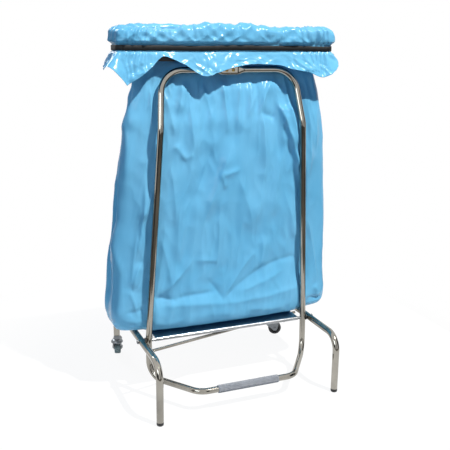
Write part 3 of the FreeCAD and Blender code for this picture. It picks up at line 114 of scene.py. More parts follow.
def bumpInto(tree, shader, height, strength, distance):
    # Bump on the shader's normal, its distance in metres.
    bump = addNode(
        tree, "ShaderNodeBump", values={"Strength": strength, "Distance": distance}, links={"Height": height},
    )
    tree.links.new(bump.outputs["Normal"], shader.inputs["Normal"])
    return bump


print("materials")

# Blown polyethylene film: glossy, faintly see-through to light, with fine crumples in the surface.
film, tree, shader = newMaterial("glossy blue polyethylene film", {
    "Base Color": linear("#64A9CC"), "Roughness": 0.19, "IOR": 1.5, "Specular IOR Level": 0.14,
})
tone = objectNoise(tree, 9.0, 3.0, 0.55, (1.0, 1.0, 0.5))
ramp = rampBetween(tree, tone.outputs["Fac"], linear("#5CA3C7"), linear("#6CAFD1"))
tree.links.new(ramp.outputs["Color"], shader.inputs["Base Color"])
creases = objectNoise(tree, 16.0, 3.5, 0.55, (1.0, 1.0, 0.5), "RIDGED_MULTIFRACTAL")
first = addNode(
    tree, "ShaderNodeBump", values={"Strength": 0.42, "Distance": 0.0034}, links={"Height": creases.outputs["Fac"]},
)
fine = objectNoise(tree, 60.0, 3.0, 0.55, (1.0, 1.0, 0.5), "RIDGED_MULTIFRACTAL")
second = bumpInto(tree, shader, fine.outputs["Fac"], 0.22, 0.0006)
tree.links.new(first.outputs["Normal"], second.inputs["Normal"])
glow = addNode(tree, "ShaderNodeBsdfTranslucent", values={"Color": linear("#3F9BE0")})
thin = addNode(tree, "ShaderNodeMixShader", values={"Fac": 0.16}, links={
    1: shader.outputs["BSDF"], 2: glow.outputs["BSDF"],
})
tree.links.new(thin.outputs["Shader"], tree.nodes["Material Output"].inputs["Surface"])

# Chrome plate on bent steel tube, unevenly dulled by use, its base colour darkened and browned as a painted
# reflection of brown ground.
chrome, tree, shader = newMaterial("worn chrome with painted reflection", {
    "Base Color": linear("#87847C"), "Metallic": 1.0, "Roughness": 0.1,
})
haze = objectNoise(tree, 60.0, 3.0, 0.6)
ramp = rampBetween(tree, haze.outputs["Fac"], (0.05, 0.05, 0.05, 1), (0.11, 0.11, 0.11, 1), 0.35, 0.75)
tree.links.new(ramp.outputs["Color"], shader.inputs["Roughness"])
# painted reflection: a dark brown-grey base colour stands in for brown ground mirrored in the tubes, varied at
# random along them
stainAndBrownReflection = objectNoise(tree, 14.0, 4.0, 0.6, (1.0, 1.0, 0.6))
ramp = rampBetween(tree, stainAndBrownReflection.outputs["Fac"], linear("#8B8881"), linear("#B2AEA5"), 0.3, 0.7)
tree.links.new(ramp.outputs["Color"], shader.inputs["Base Color"])
ripple = objectNoise(tree, 25.0, 2.0, 0.5)
bumpInto(tree, shader, ripple.outputs["Fac"], 0.15, 0.0004)

# Folded bright sheet, slightly satin from rolling.
traySheet, tree, shader = newMaterial("bright rolled sheet", {
    "Base Color": linear("#A9ACB0"), "Metallic": 1.0, "Roughness": 0.2,
})
grain = objectNoise(tree, 900.0, 2.0, 0.5, (0.02, 1.0, 1.0))
ramp = rampBetween(tree, grain.outputs["Fac"], (0.16, 0.16, 0.16, 1), (0.27, 0.27, 0.27, 1))
tree.links.new(ramp.outputs["Color"], shader.inputs["Roughness"])

# Zinc-plated pressings: grey-blue, duller than chrome.
zinc, tree, shader = newMaterial("zinc plated pressing", {
    "Base Color": linear("#787C80"), "Metallic": 1.0, "Roughness": 0.3,
})
spangle = objectNoise(tree, 400.0, 3.0, 0.6)
ramp = rampBetween(tree, spangle.outputs["Fac"], (0.22, 0.22, 0.22, 1), (0.4, 0.4, 0.4, 1))
tree.links.new(ramp.outputs["Color"], shader.inputs["Roughness"])

# Moulded plastic with a fine spark-eroded grain.
blackPlastic, tree, shader = newMaterial("black moulded plastic", {
    "Base Color": linear("#17181A"), "Roughness": 0.45, "IOR": 1.5,
})
grain = objectNoise(tree, 1500.0, 2.0, 0.5)
bumpInto(tree, shader, grain.outputs["Fac"], 0.15, 0.0002)

# Flat rubber band: matt black under a thin, uneven dusting.
bandRubber, tree, shader = newMaterial("flat black rubber", {
    "Base Color": linear("#0C0E10"), "Roughness": 0.6, "IOR": 1.5, "Specular IOR Level": 0.25,
})
dust = objectNoise(tree, 120.0, 3.0, 0.6)
ramp = rampBetween(tree, dust.outputs["Fac"], linear("#08090A"), linear("#16191B"))
tree.links.new(ramp.outputs["Color"], shader.inputs["Base Color"])
bumpInto(tree, shader, dust.outputs["Fac"], 0.2, 0.0003)

# Fluted grip sleeve in soft vinyl: pale grey, satin.
sleeveVinyl, tree, shader = newMaterial("grey vinyl grip", {
    "Base Color": linear("#8F949C"), "Roughness": 0.5, "IOR": 1.52,
})
scuff = objectNoise(tree, 90.0, 3.0, 0.6)
ramp = rampBetween(tree, scuff.outputs["Fac"], linear("#666A71"), linear("#74787F"))
tree.links.new(ramp.outputs["Color"], shader.inputs["Base Color"])

# Caster treads: one grey-green rubber, one black, as the photo shows them.
greyTread, tree, shader = newMaterial("grey tread rubber", {
    "Base Color": linear("#7C8B88"), "Roughness": 0.6, "IOR": 1.5,
})
scuff = objectNoise(tree, 200.0, 3.0, 0.6)
ramp = rampBetween(tree, scuff.outputs["Fac"], linear("#6C7B79"), linear("#8C9A96"))
tree.links.new(ramp.outputs["Color"], shader.inputs["Base Color"])
blackTread, tree, shader = newMaterial("black tread rubber", {
    "Base Color": linear("#141516"), "Roughness": 0.5, "IOR": 1.5,
})
scuff = objectNoise(tree, 200.0, 3.0, 0.6)
ramp = rampBetween(tree, scuff.outputs["Fac"], linear("#0E0F10"), linear("#222426"))
tree.links.new(ramp.outputs["Color"], shader.inputs["Base Color"])

# Yellow passivated rivet steel: warm and slightly dull.
rivetBrass, tree, shader = newMaterial("yellow passivated rivet", {
    "Base Color": linear("#C9A45C"), "Metallic": 1.0, "Roughness": 0.28,
})
worn = objectNoise(tree, 300.0, 3.0, 0.6)
ramp = rampBetween(tree, worn.outputs["Fac"], (0.2, 0.2, 0.2, 1), (0.4, 0.4, 0.4, 1))
tree.links.new(ramp.outputs["Color"], shader.inputs["Roughness"])

cadFinish = {
    "left_side_frame": chrome, "right_side_frame": chrome, "rear_cross_tube": chrome, "brace_rod": chrome,
    "left_foot_cap": blackPlastic, "right_foot_cap": blackPlastic, "pivot_axle": zinc, "axle_nuts": chrome,
    "pivot_washers": blackPlastic, "tray": traySheet, "tray_screws": zinc, "rear_hoop": chrome,
    "rear_jaw": blackPlastic, "rear_rivets": rivetBrass, "mouth_band": bandRubber, "bag": film,
    "pedal_loop": chrome, "pedal_sleeve": sleeveVinyl, "front_jaw": blackPlastic, "front_rivets": rivetBrass,
    "left_caster_stem": zinc, "right_caster_stem": zinc,
    "left_caster_tyre": greyTread, "right_caster_tyre": blackTread,
}
for side in ("left", "right"):
    cadFinish[side + "_caster_fork"] = zinc
    cadFinish[side + "_caster_axle"] = zinc
    cadFinish[side + "_caster_balls"] = zinc
    cadFinish[side + "_brake_pin"] = zinc
    cadFinish[side + "_brake_lever"] = blackPlastic
    cadFinish[side + "_caster_hub"] = blackPlastic
for name, material in cadFinish.items():
    slots = nodes[name].data.materials
    slots.clear()
    slots.append(material)


def softStep(x, low, high):
    # Zero below low, one above high, with a smooth S between.
    share = np.clip((np.asarray(x, float) - low) / (high - low), 0.0, 1.0)
    return share * share * (3.0 - 2.0 * share)


def easedCurve(x, table, column=1):
    # Cubic through one column of a table whose first column is x, without overshoot.
    table = np.asarray(table, float)
    at, value = table[:, 0], table[:, column]
    slope = np.diff(value) / np.diff(at)
    tangent = np.zeros_like(value)
    both = slope[:-1] * slope[1:]
    tangent[1:-1] = np.where(both > 0, 2 * both / np.where(both > 0, slope[:-1] + slope[1:], 1.0), 0.0)
    tangent[0], tangent[-1] = slope[0], slope[-1]
    cell = np.clip(np.searchsorted(at, x, side="right") - 1, 0, len(at) - 2)
    span = at[cell + 1] - at[cell]
    t = np.clip((x - at[cell]) / span, 0.0, 1.0)
    return (
        (2 * t ** 3 - 3 * t ** 2 + 1) * value[cell] + (t ** 3 - 2 * t ** 2 + t) * span * tangent[cell]
        + (3 * t ** 2 - 2 * t ** 3) * value[cell + 1] + (t ** 3 - t ** 2) * span * tangent[cell + 1]
    )


def gradientNoise(points, seed):
    # Smooth noise from -1 to 1: random slopes on a unit lattice, blended by a quintic.
    slopes = np.random.default_rng(seed).normal(size=(1024, 3))
    slopes /= np.linalg.norm(slopes, axis=1)[:, None]
    cell = np.floor(points).astype(np.int64)
    inside = points - cell
    fade = inside ** 3 * (inside * (inside * 6 - 15) + 10)
    total = np.zeros(points.shape[:-1])
    for corner in ((0, 0, 0), (1, 0, 0), (0, 1, 0), (1, 1, 0), (0, 0, 1), (1, 0, 1), (0, 1, 1), (1, 1, 1)):
        corner = np.array(corner)
        key = (cell + corner) * np.array([73856093, 19349663, 83492791])
        pick = slopes[(key[..., 0] ^ key[..., 1] ^ key[..., 2]) & 1023]
        weight = np.prod(np.where(corner == 1, fade, 1 - fade), axis=-1)
        total += weight * np.sum(pick * (inside - corner), axis=-1)
    return total * 1.6


def creaseNoise(points, seed):
    # One less twice the size of the noise: sharp crests where the noise passes through zero.
    return 1 - 2 * np.abs(gradientNoise(points, seed))


def gridObject(name, points, material, along=False, caps=()):
    # Object from a grid of points in mm, rows by columns, closed around and, where asked, along.
    rows, columns = points.shape[:2]
    row = np.arange(rows if along else rows - 1)[:, None]
    col = np.arange(columns)[None, :]
    below, above, ahead = row * columns, (row + 1) % rows * columns, (col + 1) % columns
    quads = np.stack([below + col, below + ahead, above + ahead, above + col], -1).reshape(-1, 4)
    faces = quads.tolist()
    if "first" in caps:
        faces.append(list(range(columns))[::-1])
    if "last" in caps:
        faces.append(list(range((rows - 1) * columns, rows * columns)))
    mesh = bpy.data.meshes.new(name)
    mesh.from_pydata(toFrame(points.reshape(-1, 3)).tolist(), [], faces)
    mesh.polygons.foreach_set("use_smooth", np.ones(len(faces), bool))
    mesh.materials.append(material)
    mesh.update()
    obj = bpy.data.objects.new(name, mesh)
    bpy.context.scene.collection.objects.link(obj)
    return obj


def gridNormals(points):
    # Unit normals of a grid of points: the way round crossed with the way along.
    across = np.roll(points, -1, 1) - np.roll(points, 1, 1)
    along = np.gradient(points, axis=0)
    normal = np.cross(across, along)
    return normal / np.maximum(np.linalg.norm(normal, axis=-1, keepdims=True), 1e-9)


print("bag film")

# The film goes up from its floor on the tray, between the jaws, over them, down under the band and
# out as a loose skirt. Places round the ring run 0 to 24 along the front from the left, to 34 round
# the right end, to 58 along the rear and to 68 round the left end.
bagFilm = {
    "frontColumns": 236, "cornerColumns": 9, "endColumns": 12, "rearColumns": 104,
    "trayTop": 162.7, "railTop": 167.6, "trayHalf": 206.0, "mouthY": 194.0,
    "jawHalf": 283.0, "jawReach": 33.0, "jawTop": 918.0, "throatHalf": 239.2, "throatReach": 14.2,
    "bandHigh": 894.0, "bandLow": 880.5, "gusset": 19.0, "tubeClear": 9.6,
    "uprights": ((223, 153, 157), (190.5, 134, 701), (176.5, 170, 834.5)),
    "hoop": ((200, 368, 152), (176.5, 218, 834.5)),
    # height, left half, right half, front, rear, corner, pinch of the ends
    "rings": [
        (162.7, 284, 292, 197, 322, 20, 0.33), (168, 291, 300, 178, 329, 26, 0.34),
        (177, 296, 308, 163, 335, 34, 0.35), (192, 300, 314, 153, 339, 40, 0.36),
        (212, 305, 317, 149, 340, 44, 0.38), (250, 308, 318, 151, 336, 46, 0.41),
        (310, 306, 317, 155, 328, 45, 0.45), (345, 306, 316, 155, 321, 44, 0.47),
        (400, 301, 314, 153, 309, 42, 0.50), (440, 298, 312, 151, 300, 40, 0.52),
        (500, 296, 307, 149, 286, 38, 0.56), (530, 295, 304, 149, 279, 37, 0.57),
        (580, 291, 299, 149, 269, 35, 0.58), (640, 281, 291, 151, 255, 33, 0.59),
        (700, 263, 279, 158, 240, 30, 0.57), (745, 246, 268, 170, 229, 27, 0.50),
        (785, 241, 258, 178, 217, 22, 0.40), (812, 240, 249, 180.5, 208, 14, 0.20),
        (838, 239.2, 239.2, 179.8, 208.2, 14, 0.0),
    ],
    # place round the ring, hem height
    "hem": [
        (0, 802), (1.5, 822), (3.1, 849), (4.2, 868), (5.2, 861), (6.5, 848), (8.7, 821), (10.0, 829),
        (12.4, 843), (14.5, 849), (17.6, 846), (19.2, 836), (21.0, 829), (22.8, 816), (24.6, 831), (26.0, 846),
        (28.0, 862), (29.5, 868), (31.5, 838), (34.0, 826), (37, 842), (40, 820), (44, 846), (48, 826),
        (51, 848), (55, 818), (58, 832), (60, 852), (62, 846), (64, 836), (65.5, 845), (67, 822), (68, 802),
    ],
    # place round the ring, how far the hem stands out from the band
    "flare": [
        (0, 19), (2, 13), (4.2, 5), (6.5, 8), (8.7, 17), (12, 12), (15, 9), (18, 11), (21, 17), (23, 19), (25.5, 21),
        (28, 14), (31, 16), (34, 18), (38, 10), (42, 16), (46, 9), (50, 17), (54, 10), (58, 17), (61, 16),
        (64, 27), (65.6, 33), (67, 24), (68, 19),
    ],
    # place round the ring, rise of the fold over the jaws
    "crest": [
        (0, 9), (3, 7), (5, 8), (6.5, 15), (9, 22), (11.5, 21), (14, 22), (16, 17), (17, 13), (18.3, 17),
        (21, 15), (24, 14), (29, 12), (34, 15), (38, 10), (43, 16), (48, 11), (53, 17), (58, 12), (63, 11), (68, 9),
    ],
}
# Folds on the front, listed one by one: start x, z, end x, z, height outward, reach to the left, to the
# right, and how far the middle is bowed sideways. A short reach on one side is a steep flank.
frontFolds = [
    (-8, 640, -68, 485, 5.5, 13, 42, 0), (-53, 640, -110, 505, -3.2, 20, 26, 4),
    (-36, 470, -38, 350, 2.6, 6, 34, 2), (-38, 352, -92, 358, 2.2, 10, 12, 2),
    (-34, 580, 16, 590, 2.4, 6, 10, 2), (-34, 578, -22, 545, 2.0, 6, 8, 1), (118, 812, 79, 731, 5.0, 9, 34, -3),
    (79, 731, 92, 600, 3.6, 26, 12, 3), (92, 600, 76, 460, 3.0, 30, 12, -2),
    (121, 716, 84, 724, -2.6, 8, 10, 0), (133, 735, 192, 566, 6.5, 5, 30, 4),
    (168, 734, 176, 650, 3.4, 16, 8, 2), (135, 733, 170, 735, 3.0, 7, 12, 2),
    (100, 815, 30, 700, 1.8, 12, 12, 0), (-122, 815, -136, 735, 3.6, 12, 15, 2),
    (-106, 790, -100, 640, 2.8, 10, 22, -3), (-70, 795, -50, 700, 2.6, 12, 16, 3),
    (-18, 800, -13, 690, 3.8, 9, 20, 2), (31, 800, 14, 690, 3.0, 10, 18, -2),
    (60, 800, 46, 720, 2.2, 10, 14, 1), (-168, 775, -150, 690, 2.8, 10, 14, 2),
    (-150, 655, -126, 622, 2.4, 8, 12, 2), (-126, 622, -104, 632, 1.8, 7, 9, 1),
    (-160, 600, -150, 470, 2.2, 10, 20, 3), (196, 337, 85, 314, -2.6, 12, 14, -5),
    (85, 315, -18, 240, -2.4, 13, 16, -6), (66, 364, -10, 256, 2.6, 10, 20, -5),
    (90, 400, 84, 318, 2.8, 8, 16, 3), (150, 300, 30, 262, 2.6, 14, 18, 3),
    (-108, 358, -184, 278, 3.0, 18, 12, 4), (-202, 266, -150, 256, -3.4, 9, 10, 1),
    (-146, 258, -44, 266, -3.2, 10, 12, -3), (-60, 300, -20, 244, -2.4, 12, 12, 2),
    (-175, 240, -28, 234, 2.8, 14, 18, 3), (-20, 233, 206, 250, 2.6, 14, 20, 4),
    (150, 186, 206, 178, 2.2, 5, 8, 1), (60, 205, 160, 196, 1.6, 8, 10, 1),
    (-257, 772, -268, 560, 4.5, 10, 12, 4), (-240, 786, -250, 700, 3.6, 8, 12, 2),
    (-204, 800, -202, 690, 2.6, 10, 12, 1), (-222, 560, -244, 380, 3.6, 8, 18, 4),
    (-206, 540, -230, 480, 3.0, 8, 12, 2), (-236, 358, -254, 296, 3.4, 8, 12, -2),
    (-246, 430, -262, 300, 2.8, 10, 14, 2), (-265, 292, -248, 226, 2.4, 9, 12, 2),
    (-272, 228, -230, 240, -2.6, 8, 9, 1), (-292, 452, -280, 326, 4.0, 7, 10, -4),
    (-280, 326, -294, 210, 3.6, 8, 12, 3), (216, 800, 226, 560, 3.0, 10, 14, 2),
    (240, 790, 248, 640, 2.6, 10, 12, 1), (234, 430, 270, 240, 4.2, 14, 9, 4),
    (226, 406, 222, 246, -3.0, 8, 12, 0), (262, 240, 282, 206, 2.6, 8, 8, 1),
    (240, 205, 286, 200, -2.4, 7, 8, 1), (212, 600, 224, 440, 3.0, 8, 12, 2),
    (-185, 420, -160, 300, 2.2, 12, 16, 3), (20, 560, 60, 430, 2.0, 16, 20, 4),
    (140, 620, 120, 470, 2.4, 12, 20, -3), (150, 520, 190, 400, 2.0, 12, 16, 3),
    (-120, 470, -140, 370, 1.8, 14, 18, -3),
]


def ringColumns(shape):
    # For each column: share along the side, share along the end, outward angle and place.
    corner, end = shape["cornerColumns"], shape["endColumns"]
    runs = (
        (shape["frontColumns"], (-1, 1), (0, 0), (-90, -90), (0, 24)), (corner, (1, 1), (0, 0), (-90, 0), (24, 28)),
        (end, (1, 1), (0, 1), (0, 0), (28, 30)), (corner, (1, 1), (1, 1), (0, 90), (30, 34)),
        (shape["rearColumns"], (1, -1), (1, 1), (90, 90), (34, 58)), (corner, (-1, -1), (1, 1), (90, 180), (58, 62)),
        (end, (-1, -1), (1, 0), (180, 180), (62, 64)), (corner, (-1, -1), (0, 0), (180, 270), (64, 68)),
    )
    table = []
    for count, *spans in runs:
        table.append(np.stack([np.linspace(low, high, count, endpoint=False) for low, high in spans]))
    side, end, angle, place = np.concatenate(table, 1)
    return side, end, np.radians(angle), place


sideShare, endShare, outAngle, ringPlace = ringColumns(bagFilm)


def ringPlan(left, right, front, rear, corner, pinch):
    # Rounded rectangle in plan for each row, drawn in towards its two ends by the pinch.
    rows = (left, right, front, rear, corner, pinch)
    left, right, front, rear, corner, pinch = (np.atleast_1d(values)[:, None] for values in rows)
    corner = np.minimum(corner, (rear - front) / 2 - 0.5)
    half = (left + right) / 2
    x = (half - corner) * sideShare + corner * np.cos(outAngle)
    y = front + corner + (rear - front - 2 * corner) * endShare + corner * np.sin(outAngle)
    middle = (front + rear) / 2
    y = middle + (y - middle) * (1 - pinch * np.abs(x / half) ** 3)
    return x * np.where(x < 0, left, right) / half, y


def foldHeight(x, z, folds, soft=0.5, gain=2.5):
    # Sum of ridges along bowed lines: sharp at the line, falling away at its own rate each side.
    total = np.zeros_like(x)
    for startX, startZ, endX, endZ, height, reachLeft, reachRight, bow in folds:
        alongX, alongZ = endX - startX, endZ - startZ
        length = math.hypot(alongX, alongZ)
        alongX, alongZ = alongX / length, alongZ / length
        if alongZ > 0:
            startX, startZ, alongX, alongZ = endX, endZ, -alongX, -alongZ
        run = ((x - startX) * alongX + (z - startZ) * alongZ) / length
        inside = np.clip(run, 0, 1)
        off = (x - startX) * -alongZ + (z - startZ) * alongX - bow * 4 * inside * (1 - inside)
        reach = np.where(off < 0, reachLeft, reachRight)
        ends = softStep(run, -0.18, 0.22) * (1 - softStep(run, 0.78, 1.18))
        total += gain * height * ends * np.exp(-(np.sqrt(off ** 2 + soft ** 2) - soft) / reach)
    return total


def behindTubes(x, y, z, corners, clear, rearward):
    # Pushes y clear of a tube and its mirror image: half circle of the clear radius round its line.
    corners = np.asarray(corners, float)
    tubeX, tubeY = (np.interp(z, corners[:, 2], corners[:, k]) for k in (0, 1))
    aside = np.abs(x) - tubeX
    bulge = np.sqrt(np.clip(clear ** 2 - aside ** 2, 0.0, None))
    pushed = np.maximum(y, tubeY + bulge) if rearward else np.minimum(y, tubeY - bulge * 1.03)
    return np.where(np.abs(aside) < clear, pushed, y)


def railLift(shape, x):
    # Rise of the film's floor from the tray, in the middle, to just over the rails at the sides.
    return (shape["railTop"] - shape["trayTop"]) * softStep(np.abs(x), shape["trayHalf"], 230.0)


def bagBody(shape):
    # Rings of the body, moved outward along their normals by the sum of its waves and folds.
    # rows closer together near the floor
    levels = np.concatenate([[162.7, 163.2, 164.4, 166.2, 168.6, 171.6, 175.2], np.linspace(179, 838, 147)])
    left, right, front, rear, corner, pinch = (easedCurve(levels, shape["rings"], k) for k in range(1, 7))
    bodyX, bodyY = ringPlan(left, right, front, rear, corner, pinch)
    bodyZ = np.repeat(levels[:, None], bodyX.shape[1], 1)
    middle = ((front + rear) / 2)[:, None]
    deep = ((rear - front) / 2)[:, None]
    # gusset: the two ends fold inward along their middle
    gusset = np.exp(-((bodyY - middle) / (0.34 * deep)) ** 2) * softStep(np.abs(bodyX), 200, 262)
    gusset *= shape["gusset"] * softStep(bodyZ, 172, 290) * (1 - softStep(bodyZ, 560, 800))
    bodyX = bodyX - np.sign(bodyX) * gusset
    body = np.stack([bodyX, bodyY, bodyZ], -1)
    out = gridNormals(body)
    # folds: long upright waves, finer ones near the jaws, and the listed ones on the front
    warp = np.stack([gradientNoise(body / 140.0, seed) for seed in (3, 4, 5)], -1) * 22.0
    spot = body + warp
    longWave = gradientNoise(spot / np.array([70.0, 70.0, 260.0]), 11)
    midWave = gradientNoise(spot / np.array([34.0, 34.0, 120.0]), 12)
    crumple = gradientNoise(spot / np.array([26.0, 26.0, 34.0]), 13)
    pleat = creaseNoise(spot / np.array([21.0, 40.0, 230.0]), 14)
    upper = softStep(bodyZ, 600, 790)
    hidden = (1 - softStep(bodyZ, 780, 836)) * softStep(bodyZ, 163, 196)
    rearSide = softStep(bodyY - middle, -4, 14)
    ridge = creaseNoise(spot / np.array([64.0, 64.0, 150.0]), 17)
    facet = creaseNoise(spot / np.array([31.0, 31.0, 60.0]), 18)
    # folds that fan out downward from over the mouth, sharp along their crests
    fanned = (bodyX - 20.0) * 900.0 / (1740.0 - bodyZ) + 6.0 * longWave
    fan = creaseNoise(np.stack([fanned / 27.0, middle / 60.0 + rearSide, bodyZ / 330.0], -1), 19)
    waves = 2.4 * longWave + 0.5 * midWave + 0.2 * crumple + 1.2 * upper * pleat + 2.0 * ridge + 1.6 * facet
    waves += 4.4 * fan * (0.6 + 0.4 * upper)
    waves *= 1 - 0.6 * softStep(np.abs(bodyX), 225, 268)
    waves += rearSide * (3.0 * gradientNoise(spot / np.array([60.0, 60.0, 200.0]), 15) + 1.6 * np.abs(midWave))
    low = softStep(250 - bodyZ, 0, 60)
    waves += low * 3.0 * gradientNoise(spot / np.array([80.0, 80.0, 26.0]), 16)
    waves += (1 - rearSide) * foldHeight(bodyX, bodyZ, frontFolds)
    body = body + out * (waves * hidden)[..., None]
    # behind the two uprights, and in front of the leaning hoop
    x, y, z = body[..., 0], body[..., 1], body[..., 2]
    y = np.where(rearSide < 0.5, behindTubes(x, y, z, shape["uprights"], shape["tubeClear"], True), y)
    y = np.where(rearSide > 0.5, behindTubes(x, y, z, shape["hoop"], shape["tubeClear"], False), y)
    return np.stack([x, y, z + railLift(shape, x) * (1 - softStep(z, 163, 225))], -1)


def bagFloor(shape, foot):
    # The body's lowest ring drawn in to the middle line, one row for each share.
    centreY = foot[:, 1].mean()
    rows = []
    for share in (0.02, 0.3, 0.6, 0.84, 0.95, 0.985):
        inner = foot.copy()
        inner[:, 0] *= share
        inner[:, 1] = centreY + (foot[:, 1] - centreY) * share
        inner[:, 2] = shape["trayTop"] + railLift(shape, inner[:, 0])
        rows.append(inner)
    return np.stack(rows)


def bagThroat(shape):
    # Upright rounded rectangles between the jaws.
    levels = np.linspace(846, shape["jawTop"], 9)
    flat = np.ones_like(levels)
    half, mouth, reach = shape["throatHalf"], shape["mouthY"], shape["throatReach"]
    x, y = ringPlan(half * flat, half * flat, (mouth - reach) * flat, (mouth + reach) * flat, 14 * flat, 0 * flat)
    return np.stack([x, y, np.repeat(levels[:, None], x.shape[1], 1)], -1)


def bagCuff(shape):
    # Fold over the jaws, cuff, and skirt that spreads from the band, all puffed out by gathers.
    mouth, throatHalf, throatReach = shape["mouthY"], shape["throatHalf"], shape["throatReach"]
    bandHigh, bandLow = shape["bandHigh"], shape["bandLow"]
    # fold over the jaws: half a wave from the inner to the outer side
    outHalf, outReach = shape["jawHalf"] + 0.9, shape["jawReach"] + 0.9
    turn = np.linspace(0, math.pi, 19)[1:-1]
    share = (1 - np.cos(turn)) / 2
    half = throatHalf + (outHalf - throatHalf) * share
    front = mouth - throatReach - (outReach - throatReach) * share
    rear = mouth + throatReach + (outReach - throatReach) * share
    x, y = ringPlan(half, half, front, rear, 14 + 0.9 * share, 0 * share)
    rise = easedCurve(ringPlace, shape["crest"])[None, :]
    lift = np.sin(turn)[:, None] ** 0.75
    crest = np.stack([x, y, shape["jawTop"] + 0.6 + (rise - 2.5) * lift], -1)
    # cuff down to the band, then the skirt to the hem
    levels = np.concatenate([np.linspace(917, bandHigh, 13), np.linspace(891.5, bandLow, 5)])
    flat = np.ones_like(levels)
    x, y = ringPlan(
        outHalf * flat, outHalf * flat, (mouth - outReach) * flat, (mouth + outReach) * flat, 14.9 * flat, 0 * flat,
    )
    cuff = np.stack([x, y, np.repeat(levels[:, None], x.shape[1], 1)], -1)
    fall = np.linspace(0, 1, 37)[1:]
    flareAt = easedCurve(ringPlace, shape["flare"])[None, :]
    hemAt = easedCurve(ringPlace, shape["hem"])[None, :]
    outward = np.stack([np.cos(outAngle), np.sin(outAngle), np.zeros_like(outAngle)], -1)
    spread = (flareAt * fall[:, None] ** 1.25)[..., None]
    edge = cuff[-1][None, :, :2] + outward[None, :, :2] * spread
    down = bandLow - (bandLow - hemAt) * fall[:, None]
    skirt = np.concatenate([edge, down[..., None]], -1)
    upper = np.concatenate([crest, cuff, skirt])
    # gathers along the band, closer together at the ends than in the middle
    ring = cuff[-1][:, :2]
    step = np.linalg.norm(np.roll(ring, -1, 0) - ring, axis=1)
    inMiddle = 1 - softStep(np.abs(ring[:, 0]), 120, 235)
    phase = np.cumsum(step / (15.0 + 22.0 * inMiddle))
    phase *= np.round(phase[-1]) / phase[-1]
    x, y, height = upper[..., 0], upper[..., 1], upper[..., 2]
    lean = gradientNoise(np.stack([x / 55, y / 55, np.zeros_like(height)], -1), 21) * (height - 887) / 34.0
    wander = gradientNoise(upper / np.array([48.0, 48.0, 40.0]), 22) * 0.55
    gather = 1 - 2 * np.abs(np.mod(phase[None, :] + lean + wander, 1.0) * 2 - 1)
    gather = np.sign(gather) * np.abs(gather) ** 0.8
    fineGather = 1 - 2 * np.abs(np.mod(phase[None, :] * 2 + 1.7 * lean - wander, 1.0) * 2 - 1)
    loose = softStep(gradientNoise(upper / np.array([60.0, 60.0, 45.0]), 26), -0.35, 0.45)
    onEnds = (1 - inMiddle)[None, :]
    # creases that lean to the right or to the left across crest and skirt
    crushed = gradientNoise(upper / np.array([24.0, 24.0, 17.0]), 23)
    pushed = upper + 12 * np.stack([crushed, crushed, -crushed], -1)
    ridged = creaseNoise(pushed / np.array([44.0, 44.0, 20.0]), 24)
    pulled = creaseNoise(np.stack([x - 1.7 * (height - 887), y, 0.45 * height], -1) / 46.0, 27)
    crossed = creaseNoise(np.stack([x + 1.3 * (height - 887), y, 0.4 * height], -1) / 34.0, 28)
    calm = 1 - 0.55 * softStep(np.abs(x), 262, 288)
    broad = gradientNoise(np.stack([x / 46, y / 46, height / 130], -1), 25)
    # how far each point stands out, above the band and below it
    aboveBand = softStep(height, 893.5, 905) * (1 - softStep(height, 921, 938) * 0.55)
    crestMask = softStep(height, bandHigh, 903)
    belowBand = softStep(bandLow - height, 0, 9)
    fallen = np.clip((bandLow - height) / 60.0, 0.0, 1.0)
    puff = aboveBand * (0.2 + 0.7 * loose + 1.9 * onEnds) * (gather + 1) + 0.5 * aboveBand * fineGather * onEnds
    puff += crestMask * ((2.2 * ridged + 4.6 * pulled + 2.2 * crossed) * calm + 0.6 * crushed + 2.6)
    puff += belowBand * (1 - 0.85 * fallen) * (0.2 + 0.9 * loose + 2.2 * onEnds) * (gather + 1)
    puff += belowBand * (1 - fallen) * 0.4 * (fineGather + 1) * onEnds
    hanging = 7.0 * broad + 2.5 * ridged + 3.2 * crossed + 3.0 * pulled + 0.6 * crushed + 2.6
    puff += belowBand * fallen * hanging * calm
    # direction of the puff: inward, over the top and outward on the crest, outward below it
    count = len(crest)
    direction = np.repeat(outward[None], len(upper), 0)
    tilt = np.linspace(math.pi, 0, count + 2)[1:-1]
    direction[:count] *= np.cos(tilt)[:, None, None]
    direction[:count, :, 2] = np.sin(tilt)[:, None]
    puff[:count] *= softStep(np.linspace(0, 1, count), 0.0, 0.5)[:, None]
    upper = upper + direction * np.maximum(puff, -0.5)[..., None]
    # hem turned in by half a millimetre, which gives the edge its thickness
    lip = upper[-1] - outward * 0.5
    back = upper[-4] - outward * 0.7
    return np.concatenate([upper, lip[None], back[None]])


def bagSurface(shape):
    # Whole film as one grid, row on row: floor, body, throat, and the cuff with its skirt.
    body = bagBody(shape)
    return np.concatenate([bagFloor(shape, body[0]), body, bagThroat(shape), bagCuff(shape)])


bagPoints = bagSurface(bagFilm)
bagSkin = gridObject("bagFilm", bagPoints, film, caps=("first",))
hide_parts("bag")
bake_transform(bagSkin)
print("bag rows, columns", bagPoints.shape[:2])


